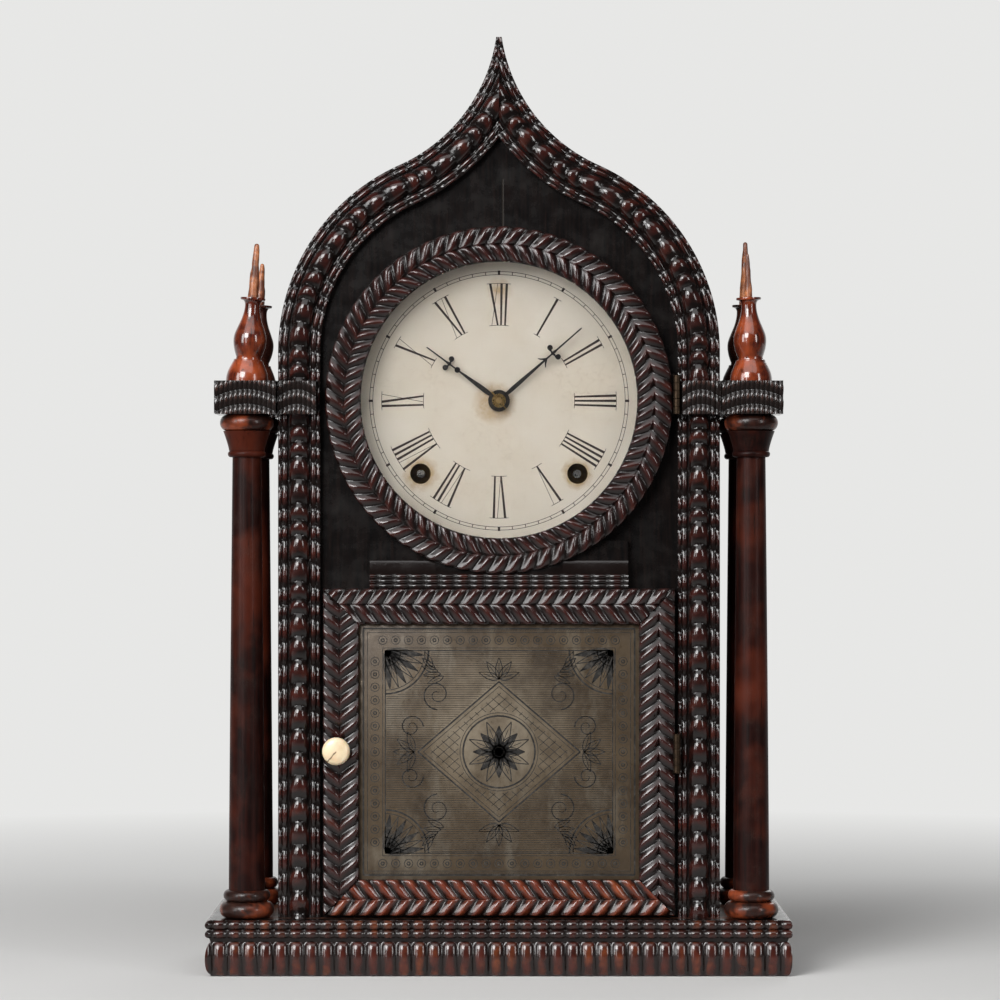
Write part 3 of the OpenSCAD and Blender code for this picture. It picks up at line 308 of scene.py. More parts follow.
ROSEWOOD = rippled("rippled_rosewood", (0.0060, 0.0036, 0.0031), (0.042, 0.0088, 0.0066),
                   (0.10, 0.021, 0.010), 0.6, 0.75, 0.11)
FRAME_WOOD = rippled("rippled_door_frame", (0.0075, 0.0042, 0.0037), (0.045, 0.0105, 0.0085),
                     (0.11, 0.024, 0.012), 0.35, 0.65, 0.15)
BOTTOM_WOOD = rippled("rippled_bottom_rail", (0.010, 0.0045, 0.0035), (0.14, 0.026, 0.011),
                      (0.28, 0.066, 0.020), 0.3, 0.9, 0.16, 0.7)
PLINTH_WOOD = rippled("rippled_plinth", (0.009, 0.0045, 0.0038), (0.062, 0.0125, 0.0078),
                      (0.30, 0.075, 0.020), 0.55, 0.8, 0.12, 0.55)
BLOCK_WOOD = rippled("rippled_blocks", (0.009, 0.0058, 0.005), (0.060, 0.026, 0.020),
                     (0.17, 0.070, 0.045), 0.75, 0.6, 0.2, 0.4)
print("rippled finishes:", [m.name for m in (ROSEWOOD, FRAME_WOOD, BOTTOM_WOOD, PLINTH_WOOD,
                                             BLOCK_WOOD)])

# %% [markdown]
# The columns and finials are turned from plain mahogany, and sides and roof are veneered. Their
# grain runs along the wood, so its noise is stretched along one axis, and each wood sets its own
# colours, stretch and shine.

# %% Turned mahogany, flat veneer and pine
def grained(name, dark, middle, light, stretch, streaks, gloss, dull, coat, patches,
            shine=0.36):
    made, tree, shader = material(name, specular_ior_level=shine)
    where = coordinates(tree)
    grain = use(tree, GRAIN, {"Vector": where, "Dark": (*dark, 1), "Middle": (*middle, 1),
                "Light": (*light, 1), "Stretch": stretch, "Streaks": streaks, "Patches": patches})
    polish = use(tree, POLISH, {"Vector": where, "Gloss": gloss, "Dull": dull})
    body = mixed(tree, math_node(tree, "MULTIPLY", polish["Dust"], 0.04), grain["Color"],
                 (0.32, 0.28, 0.23))
    feed(tree, shader, base_color=body, roughness=polish["Roughness"],
         coat_weight=fade(tree, grain["Patch"], 0.3, 0.7, coat, coat * 0.6))
    bump(tree, shader, grain["Height"], 0.2, 0.00015)
    return made


COLUMN_WOOD = grained("column_mahogany", (0.005, 0.0017, 0.0014), (0.017, 0.0036, 0.0024),
                      (0.070, 0.013, 0.0058), (1, 1, 0.05), 520, 0.38, 0.55, 0.02, 22, 0.08)
CAP_WOOD = grained("cap_mahogany", (0.0095, 0.0042, 0.0032), (0.027, 0.0078, 0.0048),
                   (0.28, 0.055, 0.018), (1, 1, 0.3), 420, 0.26, 0.5, 0.15, 60, 0.2)
FINIAL_WOOD = grained("finial_mahogany", (0.022, 0.0050, 0.0032), (0.115, 0.018, 0.0072),
                      (0.33, 0.060, 0.015), (1, 1, 0.12), 480, 0.12, 0.38, 0.9, 45)
# Painted shade: the rear finials get a darker copy of the front finials' wood, for their place
# behind.
SHADED_REAR_FINIAL = grained("rear_finial_wood_painted_shade", (0.012, 0.0045, 0.0038), (0.035, 0.010, 0.007),
                      (0.09, 0.022, 0.011), (1, 1, 0.12), 480, 0.16, 0.42, 0.7, 45)
SPIKE_WOOD = grained("bare_spike_wood", (0.055, 0.020, 0.013), (0.18, 0.055, 0.024),
                     (0.52, 0.19, 0.075), (1, 1, 0.08), 900, 0.35, 0.6, 0.1, 120)
VENEER = grained("case_veneer", (0.010, 0.0045, 0.0035), (0.032, 0.0095, 0.0062),
                 (0.075, 0.022, 0.012), (1, 1, 0.03), 420, 0.22, 0.5, 0.15, 14, 0.25)
CORE_WOOD = grained("plinth_core", (0.03, 0.012, 0.008), (0.08, 0.03, 0.016),
                    (0.14, 0.05, 0.025), (0.05, 1, 1), 420, 0.3, 0.6, 0.3, 20)
PINE = grained("pine", (0.20, 0.115, 0.055), (0.36, 0.23, 0.12), (0.46, 0.31, 0.17),
               (1, 1, 0.03), 330, 0.5, 0.75, 0.05, 12)
print("grained finishes are mixed")

# %% [markdown]
# The board behind the door's ring is black all over. It was glued up from two halves, and the
# joint shows as a faint upright line under the peak, which is drawn by the distance from it.

# %% The black front board, with its seam above the ring
BLACK, tree, shader = material("black_board", specular_ior_level=0.18)
where = coordinates(tree)
polish = use(tree, POLISH, {"Vector": where, "Gloss": 0.2, "Dull": 0.42})
grain = noise(tree, where, 600, 5, 0.6, (1, 1, 0.06))
axes = add(tree, "ShaderNodeSeparateXYZ", {"Vector": where})
seam_x, seam_low, seam_high = 0.0022, 0.4045, 0.431
near_seam = fade(tree, math_node(tree, "ABSOLUTE",
                 math_node(tree, "SUBTRACT", axes.outputs["X"], seam_x)), 0.0002, 0.0005, 1, 0)
above = math_node(tree, "GREATER_THAN", axes.outputs["Z"], seam_low)
below = math_node(tree, "LESS_THAN", axes.outputs["Z"], seam_high)
seam = math_node(tree, "MULTIPLY", near_seam, math_node(tree, "MULTIPLY", above, below))
body = mixed(tree, fade(tree, grain, 0.4, 0.7), (0.0028, 0.0024, 0.0024), (0.0075, 0.0048, 0.0042))
body = mixed(tree, math_node(tree, "MULTIPLY", polish["Dust"], 0.05), body, (0.16, 0.14, 0.12))
body = mixed(tree, seam, body, (0.022, 0.019, 0.016))
feed(tree, shader, base_color=body, roughness=polish["Roughness"])
bump(tree, shader, math_node(tree, "ADD", grain, math_node(tree, "MULTIPLY", seam, -1)),
     0.2, 0.0002)
print("black board:", len(tree.nodes), "nodes")

# %% [markdown]
# The dial is painted zinc, cream with age. Brown stains have crept out round the winding holes
# and the centre, where oil has run, and a fine web of cracks covers the paint. Its numerals are
# ink. The ink, the tablet's scratched lines and the hands' blackened iron are all thin dark
# layers, worn in spots, so one function makes the three.

# %% Dial paint
WINDING_X, WINDING_Z = 0.0428, 0.2710
DIAL_PAINT, tree, shader = material("dial_paint", specular_ior_level=0.35)
where = coordinates(tree)
broad = noise(tree, where, 18, 4, 0.6)
fine = noise(tree, where, 260, 6, 0.7)
wobble = add(tree, "ShaderNodeTexNoise", {"Vector": where, "Scale": 240.0, "Detail": 4.0})
shift = add(tree, "ShaderNodeVectorMath", {0: wobble.outputs["Color"], 1: (0.5, 0.5, 0.5)},
            operation="SUBTRACT").outputs[0]
shift = add(tree, "ShaderNodeVectorMath", {0: shift, "Scale": 0.006}, operation="SCALE").outputs[0]
ragged = add(tree, "ShaderNodeVectorMath", {0: where, 1: shift}, operation="ADD").outputs[0]


def stain(centre, inner, outer):
    """1 close to a point of the dial, fading out between two radii, with a ragged edge."""
    away = add(tree, "ShaderNodeVectorMath", {0: ragged, 1: centre}, operation="DISTANCE")
    return fade(tree, away.outputs["Value"], inner, outer, 1, 0)


dial_y = DIAL_Y * MM
stains = [stain((-WINDING_X, dial_y, WINDING_Z), 0.0060, 0.0105),
          stain((WINDING_X, dial_y, WINDING_Z), 0.0062, 0.0090),
          stain((-0.0025, dial_y, 0.3095), 0.0065, 0.0125),
          stain((0.0, dial_y, 0.371), 0.0015, 0.0080)]
total = stains[0]
for one in stains[1:]:
    total = math_node(tree, "MAXIMUM", total, one)
total = math_node(tree, "MULTIPLY", total, fade(tree, fine, 0.25, 0.7, 0.35, 1.0))
cracks = add(tree, "ShaderNodeTexVoronoi", {"Vector": ragged, "Scale": 150.0},
             feature="DISTANCE_TO_EDGE").outputs["Distance"]
crack = math_node(tree, "MULTIPLY", fade(tree, cracks, 0.0, 0.03, 1, 0),
                  fade(tree, broad, 0.5, 0.75, 0.0, 0.35))
body = mixed(tree, fade(tree, broad, 0.35, 0.7), (0.80, 0.735, 0.63), (0.74, 0.655, 0.53))
body = mixed(tree, fade(tree, fine, 0.6, 0.85, 0, 0.4), body, (0.60, 0.49, 0.36))
body = mixed(tree, crack, body, (0.45, 0.35, 0.24))
body = mixed(tree, total, body, (0.50, 0.33, 0.15))
feed(tree, shader, base_color=body, roughness=fade(tree, fine, 0.3, 0.8, 0.42, 0.62))
bump(tree, shader, math_node(tree, "SUBTRACT", fine, crack), 0.15, 0.0001)
print("dial paint:", len(tree.nodes), "nodes")

# %% Ink of the numerals, scratched lines and black iron of the hands
def thin_black(name, level, scale, detail, rough, start, dark, worn, gloss, dull):
    """A thin dark layer that is worn brown in spots of the given noise."""
    made, tree, shader = material(name, specular_ior_level=level)
    spots = noise(tree, coordinates(tree), scale, detail, rough)
    feed(tree, shader, base_color=mixed(tree, fade(tree, spots, start, 0.8), dark, worn),
         roughness=fade(tree, spots, 0.3, 0.8, gloss, dull))
    bump(tree, shader, spots, 0.2, 0.00005)
    return made


INK = thin_black("numeral_ink", 0.4, 700, 4, 0.65, 0.52, (0.030, 0.017, 0.012),
                 (0.16, 0.095, 0.055), 0.35, 0.6)
ETCHED = thin_black("etched_line", 0.5, 420, 5, 0.7, 0.5, (0.010, 0.009, 0.008),
                    (0.055, 0.045, 0.034), 0.3, 0.6)
IRON = thin_black("black_hand", 0.5, 800, 4, 0.6, 0.5, (0.010, 0.008, 0.008),
                  (0.06, 0.04, 0.03), 0.3, 0.55)
print("thin black layers:", INK.name, ETCHED.name, IRON.name)

# %% [markdown]
# The tablet is mirrored glass with lines scratched through its silver. The silver has gone grey
# and brown at the edges and in spots, so it is hardly a mirror now: its finish is a dull brown
# with very little metal in it, lighter round a point a little above the middle.

# %% Silvered tablet
SILVER, tree, shader = material("tablet_silver", specular_ior_level=0.18)
where = coordinates(tree)
clouds = noise(tree, where, 32, 5, 0.65)
spots = noise(tree, where, 240, 5, 0.7)
streak = noise(tree, where, 70, 4, 0.6, (1, 1, 0.35))
body = mixed(tree, fade(tree, clouds, 0.35, 0.68), (0.076, 0.055, 0.034), (0.037, 0.0255, 0.016))
body = mixed(tree, fade(tree, streak, 0.52, 0.74, 0, 0.75), body, (0.15, 0.13, 0.10))
body = mixed(tree, fade(tree, spots, 0.52, 0.72, 0, 0.7), body, (0.075, 0.055, 0.036))
axes = add(tree, "ShaderNodeSeparateXYZ", {"Vector": where})
# The colour is lighter round this point, a little above the tablet's middle.
light_middle_point = (0.0, -0.0455, 0.134)
middle = add(tree, "ShaderNodeVectorMath", {0: where, 1: light_middle_point},
             operation="DISTANCE").outputs["Value"]
body = mixed(tree, math_node(tree, "MULTIPLY", fade(tree, middle, 0.012, 0.05, 0.8, 0),
             fade(tree, clouds, 0.3, 0.6, 1.0, 0.3)), body, (0.235, 0.197, 0.145))
side = math_node(tree, "ABSOLUTE", axes.outputs["X"])
up = math_node(tree, "SUBTRACT", axes.outputs["Z"], TABLET_Z * MM)
up = math_node(tree, "ABSOLUTE", up)
edge = math_node(tree, "MAXIMUM", fade(tree, side, 0.062, 0.077), fade(tree, up, 0.054, 0.070))
edge = math_node(tree, "MULTIPLY", edge, fade(tree, spots, 0.35, 0.6, 0.2, 1.0))
body = mixed(tree, math_node(tree, "MULTIPLY", edge, 0.7), body, (0.040, 0.027, 0.017))
feed(tree, shader, base_color=body, roughness=fade(tree, spots, 0.3, 0.8, 0.22, 0.55),
     metallic=fade(tree, spots, 0.45, 0.65, 0.12, 0.04))
bump(tree, shader, spots, 0.2, 0.0001)
print("silver:", len(tree.nodes), "nodes")

# %% [markdown]
# The glass over the dial is old and slightly wavy. The knob is bone with brown veins and one long
# crack, drawn as the distance from a slanting line through the knob's centre.

# %% Glass over the dial
GLASS, tree, shader = material("dial_glass", base_color=(1, 1, 1, 1), transmission_weight=1.0,
                               ior=1.5, roughness=0.0, specular_ior_level=0.5, metallic=0.0)
where = coordinates(tree)
waves = noise(tree, where, 22, 2, 0.4)
bump(tree, shader, waves, 0.03, 0.0005)
feed(tree, shader, roughness=fade(tree, noise(tree, where, 60, 4), 0.55, 0.9, 0.0, 0.06))
print("glass:", len(tree.nodes), "nodes")

# %% Bone of the knob
BONE, tree, shader = material("bone", subsurface_weight=0.15, subsurface_scale=0.002,
                              specular_ior_level=0.5)
where = coordinates(tree)
veins = noise(tree, where, 500, 5, 0.65, (1, 1, 0.2))
age = noise(tree, where, 160, 4, 0.6)
knob_x, knob_z = KNOB_X * MM, KNOB_Z * MM
axes = add(tree, "ShaderNodeSeparateXYZ", {"Vector": where}).outputs
right = math_node(tree, "MULTIPLY", math_node(tree, "SUBTRACT", axes["X"], knob_x), 0.75)
down = math_node(tree, "MULTIPLY", math_node(tree, "SUBTRACT", axes["Z"], knob_z), -0.66)
low_side = fade(tree, math_node(tree, "ADD", axes["Z"], axes["X"]),
                knob_z + knob_x - 0.0002, knob_z + knob_x + 0.0006, 1, 0)
split = math_node(tree, "ADD", math_node(tree, "ADD", right, down),
                  fade(tree, veins, 0.2, 0.8, -0.0006, 0.0006))
split = math_node(tree, "MULTIPLY", fade(tree, math_node(tree, "ABSOLUTE", split),
                  0.00012, 0.0005, 1, 0), low_side)
body = mixed(tree, fade(tree, age, 0.4, 0.75), (0.70, 0.57, 0.39), (0.56, 0.42, 0.25))
body = mixed(tree, fade(tree, veins, 0.6, 0.8, 0, 0.35), body, (0.42, 0.31, 0.20))
body = mixed(tree, split, body, (0.10, 0.055, 0.03))
feed(tree, shader, base_color=body, roughness=fade(tree, age, 0.3, 0.8, 0.22, 0.4))
bump(tree, shader, math_node(tree, "SUBTRACT", veins, split), 0.2, 0.0001)
print("bone:", len(tree.nodes), "nodes")

# %% [markdown]
# Hinges, the hands' collet and the movement are brass, steel and iron of different ages. They
# differ only in two colours and in how large and how dull the blots are, so one function makes them
# all.
# The movement's front plate gets a much darker brass than the rest, as painted shade for its place
# deep behind the dial's holes.

# %% Brass, steel and gong iron
def metal(name, clean, stained, scale, gloss, dull):
    made, tree, shader = material(name, metallic=1.0)
    tarnish = use(tree, TARNISH, {"Vector": coordinates(tree), "Clean": (*clean, 1),
                  "Stained": (*stained, 1), "Scale": scale, "Gloss": gloss, "Dull": dull})
    feed(tree, shader, base_color=tarnish["Color"], roughness=tarnish["Roughness"])
    bump(tree, shader, tarnish["Height"], 0.12, 0.00005)
    return made


COLLET_BRASS = metal("collet_brass", (0.46, 0.31, 0.12), (0.16, 0.09, 0.035), 420, 0.25, 0.5)
HINGE_BRASS = metal("hinge_brass", (0.045, 0.030, 0.019), (0.014, 0.010, 0.008), 260, 0.4, 0.65)
# Painted shade: the front plate is darkened because it lies deep in shadow behind the winding
# holes.
SHADED_FRONT_PLATE_BRASS = metal("front_plate_brass_painted_shade", (0.13, 0.08, 0.035), (0.035, 0.022, 0.012), 90, 0.4, 0.65)
MOVEMENT_BRASS = metal("movement_brass", (0.62, 0.43, 0.19), (0.24, 0.14, 0.06), 90, 0.28, 0.55)
STEEL = metal("steel", (0.56, 0.55, 0.53), (0.20, 0.17, 0.14), 260, 0.22, 0.5)
BLUED = metal("blued_steel", (0.10, 0.13, 0.26), (0.05, 0.04, 0.05), 120, 0.25, 0.5)
GONG_IRON = metal("gong_iron", (0.12, 0.11, 0.11), (0.10, 0.05, 0.03), 80, 0.45, 0.7)
print("metals are ready")

# %% [markdown]
# ## A way to make long rippled mouldings
# A moulding is one section carried along a path. By hand it would be a grid wrapped round that
# path, with its waves pulled out by proportional editing; a curve bevel can't vary its section.
# So each moulding starts as a grid primitive whose rows are laid along the path in code, and then
# its seam is merged, its ends are filled and its normals are turned outwards in edit mode.

# %% Helpers for edit mode and for a mesh's points
def edit_all():
    bpy.ops.object.mode_set(mode="EDIT")
    bpy.ops.mesh.select_all(action="SELECT")


def turn_outwards():
    """Turns every face outwards and leaves edit mode."""
    bpy.ops.mesh.select_all(action="SELECT")
    bpy.ops.mesh.normals_make_consistent(inside=False)
    bpy.ops.object.mode_set(mode="OBJECT")


def fill_open_edges():
    bpy.ops.mesh.select_all(action="DESELECT")
    bpy.ops.mesh.select_mode(type="EDGE")
    bpy.ops.mesh.select_non_manifold(extend=False, use_wire=False, use_boundary=True,
                                     use_multi_face=False, use_non_contiguous=False,
                                     use_verts=False)
    bpy.ops.mesh.fill_holes(sides=0)


def points_of(piece):
    at = np.empty(len(piece.data.vertices) * 3)
    piece.data.vertices.foreach_get("co", at)
    return at.reshape(-1, 3)


def place_points(piece, at):
    piece.data.vertices.foreach_set("co", at.ravel())
    piece.data.update()


def named(name):
    """The object that an operator has just made, under its own name."""
    piece = bpy.context.object
    piece.name = piece.data.name = name
    return piece


print("edit helpers are ready")

# %% Wrap a grid primitive round rows of points
def skin(name, rows, crest, loop=False):
    """rows[station, point] in millimetres are closed outlines; loop joins the last to the first."""
    rows = np.concatenate([rows, rows[:, :1]], axis=1)
    crest = np.concatenate([crest, crest[:, :1]], axis=1)
    if loop:
        rows, crest = (np.concatenate([a, a[:1]], axis=0) for a in (rows, crest))
    stations, around = rows.shape[:2]
    deselect()
    bpy.ops.mesh.primitive_grid_add(x_subdivisions=around - 1, y_subdivisions=stations - 1, size=1)
    piece = named(name)
    at = points_of(piece)
    i = np.rint((at[:, 0] + 0.5) * (around - 1)).astype(int)
    j = np.rint((at[:, 1] + 0.5) * (stations - 1)).astype(int)
    place_points(piece, rows[j, i] * MM)
    worn = piece.data.attributes.new("crest", "FLOAT", "POINT")
    worn.data.foreach_set("value", crest[j, i].astype(np.float32))
    edit_all()
    bpy.ops.mesh.remove_doubles(threshold=2e-6)
    fill_open_edges()
    turn_outwards()
    return piece


def saw(piece, point, normal):
    """Cuts the piece at a plane, throws away what lies on the normal's side and closes the cut."""
    only(piece)
    edit_all()
    bpy.ops.mesh.bisect(plane_co=[c * MM for c in point], plane_no=normal, use_fill=False,
                        clear_outer=True, threshold=1e-7)
    fill_open_edges()
    turn_outwards()


def finish_piece(piece, body, finish, nodes=(), smooth=40):
    """Smooths, gives the finish, ties the piece to its body and hides the CAD nodes it stands for.
    """
    only(piece)
    bpy.ops.object.shade_smooth_by_angle(angle=math.radians(smooth))
    piece.data.materials.clear()
    piece.data.materials.append(finish)
    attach(piece, body)
    if nodes:
        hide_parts(*nodes)
    deselect()
    print(f"{piece.name}: {len(piece.data.polygons)} faces on {body}")


print("mouldings can be run")

# %% [markdown]
# ### The ripple
# These mouldings were scraped by a cutter that rose and fell over a waved guide. Along its length
# the wood therefore swells and falls, with a sharp groove where two waves meet. `wave` gives the
# height of that swell, from 0 in a groove to 1 on the crest.

# %% The wave, and the outline of a row of reeds
def wave(phase, rise=0.5, power=2.0):
    """Height of the wave; phase runs from 0 to 1 between grooves, and the crest is at rise."""
    p = np.mod(phase, 1.0)
    before, after = (rise - p) / rise, (p - rise) / (1 - rise)
    return 1 - np.where(p < rise, before, after) ** power


def reed_row(beads, ground, edges, steps, flat=0.7):
    """Section of reeds: arrays of place across, ground height, reed height and reed number.

    flat is below 1 for reeds with a flatter top than a half circle.
    """
    u, low, high, which = [edges[0]], [ground], [0.0], [-1]
    for k, (middle, half, height, base) in enumerate(beads):
        for turn in np.linspace(math.pi, 0, steps[k]):
            u.append(middle + half * math.cos(turn))
            low.append(base)
            high.append(height * max(math.sin(turn), 0.0) ** flat)
            which.append(k)
    for row, last in ((u, edges[1]), (low, ground), (high, 0.0), (which, -1)):
        row.append(last)
    return np.array(u), np.array(low), np.array(high), np.array(which)


print("the wave is", wave(np.array([0.0, 0.25, 0.5])).round(2), "high at 0, 1/4 and 1/2")

# %% [markdown]
# ## Arch mouldings
# Each side is one moulding with five reeds. The wide middle reed is rippled into a stack of round
# scales, whose upper edges hang back at the sides, and the four thin reeds beside it break up into
# short beads. The waves come in a repeating set of four lengths, as on the real guide.

# %% Path along one side of the arch
def arch_path(s, u):
    """Place in X and Z at distance s along the moulding's middle and u in from its edge."""
    a = (s - UPRIGHT_L) / (SHOULDER_R - ARCH_MIDDLE)
    b = math.pi * 1.5 - ARCH_TURN - (s - UPRIGHT_L - SHOULDER_L) / (HOLLOW_R + ARCH_MIDDLE)
    straight, shoulder = s < UPRIGHT_L, s < UPRIGHT_L + SHOULDER_L
    x = np.where(straight, HALF_W - u, np.where(
        shoulder, SHOULDER_X + (SHOULDER_R - u) * np.cos(a), HOLLOW_X + (HOLLOW_R + u) * np.cos(b)))
    z = np.where(straight, BASE_H + s, np.where(
        shoulder, SPRING_Z + (SHOULDER_R - u) * np.sin(a), HOLLOW_Z + (HOLLOW_R + u) * np.sin(b)))
    return x, z


print("one side of the arch is", round(ARCH_L, 1), "mm long")

# %% The two arch mouldings
MIDDLE_REED, SCALE_HALF, REED_Y = 2, 5.5, 4.4
ARCH_SECTION = reed_row([(1.05, 0.95, 0.95, REED_Y), (3.7, 1.55, 1.55, REED_Y),
                         (ARCH_MIDDLE, SCALE_HALF, SCALE_HALF, REED_Y),
                         (19.2, 1.55, 1.55, REED_Y), (21.85, 0.95, 0.95, REED_Y)],
                        REED_Y, (0.0, ARCH_W), (5, 7, 21, 7, 5), 0.95)
WAVE_STEPS, WAVE_SETS = (13.0, 12.5, 8.0, 9.1), 20
HANG, SCALE_DEPTH, BEAD_DEPTH = 4.6, 1.9, 1.25


def arch_moulding(name, side, start, node):
    """start is the height of one groove; the repeating set of waves is counted from it."""
    u, low, high, which = ARCH_SECTION
    s = np.linspace(0, ARCH_L, 600)[:, None]
    grooves = start - 90 + np.cumsum(np.tile(WAVE_STEPS, WAVE_SETS))
    across = np.where(which == MIDDLE_REED, np.abs(u - ARCH_MIDDLE) / SCALE_HALF, 1.0)
    hung = s + BASE_H + HANG * (1 - np.sqrt(1 - 0.96 * across[None, :] ** 2))
    k = np.clip(np.searchsorted(grooves, hung), 1, len(grooves) - 1)
    f = wave((grooves[k] - hung) / (grooves[k] - grooves[k - 1]), 0.45, 2.0)
    depth = np.where(which == MIDDLE_REED, SCALE_DEPTH, BEAD_DEPTH)
    h = low + np.maximum(high - depth * (1 - f), 0.0)
    crest = np.where(high > 0.2, f, 0.12)
    x, z = arch_path(s + 0 * u, u + 0 * s)
    rows = [np.stack([side * x, CASE_Y - h, z], axis=-1)]
    for edge in (ARCH_W, 0.0):
        x, z = arch_path(s, edge + 0 * s)
        rows.append(np.stack([side * x, CASE_Y + 0 * s, z], axis=-1))
    rows = np.concatenate(rows, axis=1)
    piece = skin(name, rows, np.concatenate([crest, np.full((len(s), 2), 0.1)], axis=1))
    saw(piece, (0, 0, 0), (-side, 0, 0))
    finish_piece(piece, "root", ROSEWOOD, [node])


arch_moulding("arch_moulding_left", -1, 260.0, "left_moulding")
arch_moulding("arch_moulding_right", 1, 267.1, "right_moulding")

# %% [markdown]
# ## Plinth
# The plinth's moulding has a row of tall ribs with two rows of beads above. One wave runs through
# all three, so they share their pitch. The corners are mitred with a saw cut at 45 degrees.

# %% Section and runs of the plinth moulding
RIB_PITCH, RIB_HALF, RIB_OUT, RIB_Y, BEADS_FROM = 8.29, 9.1, 3.0, 8.0, 18.5
PLINTH_BEADS = ((22.5, 2.3), (27.4, 2.6))
RIB_CUT, BEAD_CUT = 1.75, 1.45


def plinth_section():
    """Rows of depth, height and swell: one tall rib and the two bead rows above it."""
    points = [(RIB_Y, 0.0, 0.0)]
    for a in np.radians(np.linspace(-90, 90, 17)):
        points.append((RIB_Y, RIB_HALF * (1 + math.sin(a)), RIB_OUT * math.cos(a)))
    for middle, r in PLINTH_BEADS:
        for a in np.radians(np.linspace(-88, 88, 11)):
            points.append((BASE_T - r, middle + r * math.sin(a), r * math.cos(a)))
    points.append((8.4, BASE_H, 0.0))
    return np.array(points)


def plinth_run(name, start, end, place, crest_at):
    """place turns (along, depth, height) into X, Y, Z; crest_at is where one crest lies."""
    s = np.linspace(start, end, int(abs(end - start) / 0.6))[:, None]
    f = wave((s - crest_at) / RIB_PITCH + 0.5, 0.5, 2.2)
    base, height, out = plinth_section().T
    cut = np.where(height < BEADS_FROM, RIB_CUT, BEAD_CUT)
    depth = base + np.maximum(out - cut * (1 - f), 0.0)
    crest = np.where(out > 0.2, f, 0.1) * np.where(height < BEADS_FROM, 1.0, 0.85)
    rows = [np.stack(place(s + 0 * depth, depth, height + 0 * depth), axis=-1)]
    rows += [np.stack(place(s, 0 * s, z + 0 * s), axis=-1) for z in (BASE_H, 0.0)]
    return skin(name, np.concatenate(rows, axis=1),
                np.concatenate([crest, np.zeros((len(s), 2))], axis=1))


def front_place(s, depth, z):
    return s, FRONT_Y + BASE_T - depth, z


front = plinth_run("plinth_front_moulding", -BASE_W / 2, BASE_W / 2, front_place, -150.8)
for side in (-1, 1):
    saw(front, (side * BASE_W / 2, FRONT_Y, 0), (side, 1, 0))
finish_piece(front, "root", PLINTH_WOOD, ["base_front_moulding"])

for side, label in ((-1, "left"), (1, "right")):
    def side_place(s, depth, z):
        return side * (BASE_W / 2 - BASE_T + depth), s, z
    run = plinth_run(f"plinth_{label}_moulding", FRONT_Y, BASE_D / 2, side_place, -52.5)
    saw(run, (side * BASE_W / 2, FRONT_Y, 0), (-side, -1, 0))
    finish_piece(run, "root", PLINTH_WOOD,
                 ["base_side_mouldings"] if side > 0 else ())

# %% [markdown]
# ## Door: frame, ring and bridge
# The frame and the ring are the same two-reed moulding. Its waves were cut slanting, one way on
# each reed, so that they meet in chevrons; all of them point round the door anticlockwise. Each
# place across the section gets its own shift along the wave, and the groove between the reeds is
# rounded out, as an old cutter leaves it.

# %% Section of the door's moulding and its slanting waves
CHEVRON, CHEVRON_DEPTH, LIP, MITRE_GAP = 8.4, 2.0, 2.0, 0.15
BAR_W, GROOVE_SOFT = 19.4, 0.9


def chevrons(s, reeds, leans, pitch):
    """Wave height where crests fall back from the groove, by leans at the far edges."""
    u, which = reeds[0], reeds[-1]
    lean = np.zeros_like(u)
    for k, back in enumerate(leans):
        across = u[which == k]
        half = (across.max() - across.min()) / 2
        turn = np.arccos(np.clip((across - across.min() - half) / half, -1, 1)) / math.pi
        turn = 0.5 * turn + 0.5 * (across.max() - across) / (2 * half)
        lean[which == k] = back * (turn if k == 0 else 1 - turn)
    lean[0], lean[-1] = lean[1], lean[-2]
    return wave((s + lean[None, :]) / pitch, 0.5, 1.2)


def door_rows(place, s, reeds, leans, pitch, rabbet):
    """Outlines of the moulding along s; rabbet is where the step for the glass begins."""
    u, low, high, which = reeds
    f = chevrons(s, reeds, leans, pitch)
    h = low + high - np.where(which >= 0, CHEVRON_DEPTH * (1 - f), 0.0)
    crest = np.where(which >= 0, f, 0.1)
    lip = [(u[-1], LIP), (rabbet, LIP), (rabbet, 0.0), (u[0], 0.0)]
    rows = [np.stack(place(s + 0 * h, u + 0 * h, h), axis=-1)]
    rows += [np.stack(place(s, a + 0 * s, b + 0 * s), axis=-1) for a, b in lip]
    return (np.concatenate(rows, axis=1),
            np.concatenate([crest, np.full((len(s), len(lip)), 0.1)], axis=1))


def soft_groove(reeds, hollow):
    """Two reeds with the groove between them rounded out to the radius of hollow."""
    u, low, high, which = reeds
    for k, inner in ((0, 1), (1, -1)):
        reed = which == k
        middle, top = (u[reed].min() + u[reed].max()) / 2, high[reed].max()
        side = reed & ((u - middle) * inner > 0)
        high[side] = np.hypot(high[side], hollow) * top / math.hypot(top, hollow)
    return u, low, high, which


print("the door's waves are", CHEVRON, "mm long")

# %% Four bars of the frame, mitred at the corners
BAR_SECTION = soft_groove(reed_row([(4.4, 4.4, 1.9, 5.1), (14.1, 5.3, 2.2, 4.8)], 2.6,
                                   (0.0, BAR_W), (22, 24), 0.8), GROOVE_SOFT)


def door_bar(name, length, corner, along, finish, node):
    """corner is the bar's outer corner at its start, along its direction as (x, z)."""
    inward = (-along[1], along[0])

    def place(s, u, h):
        return (corner[0] + along[0] * s + inward[0] * u, DOOR_MID_Y - h,
                corner[1] + along[1] * s + inward[1] * u)
    s = np.linspace(0, length, int(length / 0.55))[:, None]
    bar = skin(name, *door_rows(place, s, BAR_SECTION, (7.0, 9.2), CHEVRON, 16.2))
    for end, way in ((MITRE_GAP, -1), (length - MITRE_GAP, 1)):
        saw(bar, (corner[0] + along[0] * end, 0, corner[1] + along[1] * end),
            (inward[0] + way * along[0], 0, inward[1] + way * along[1]))
    finish_piece(bar, "door", finish, [node])


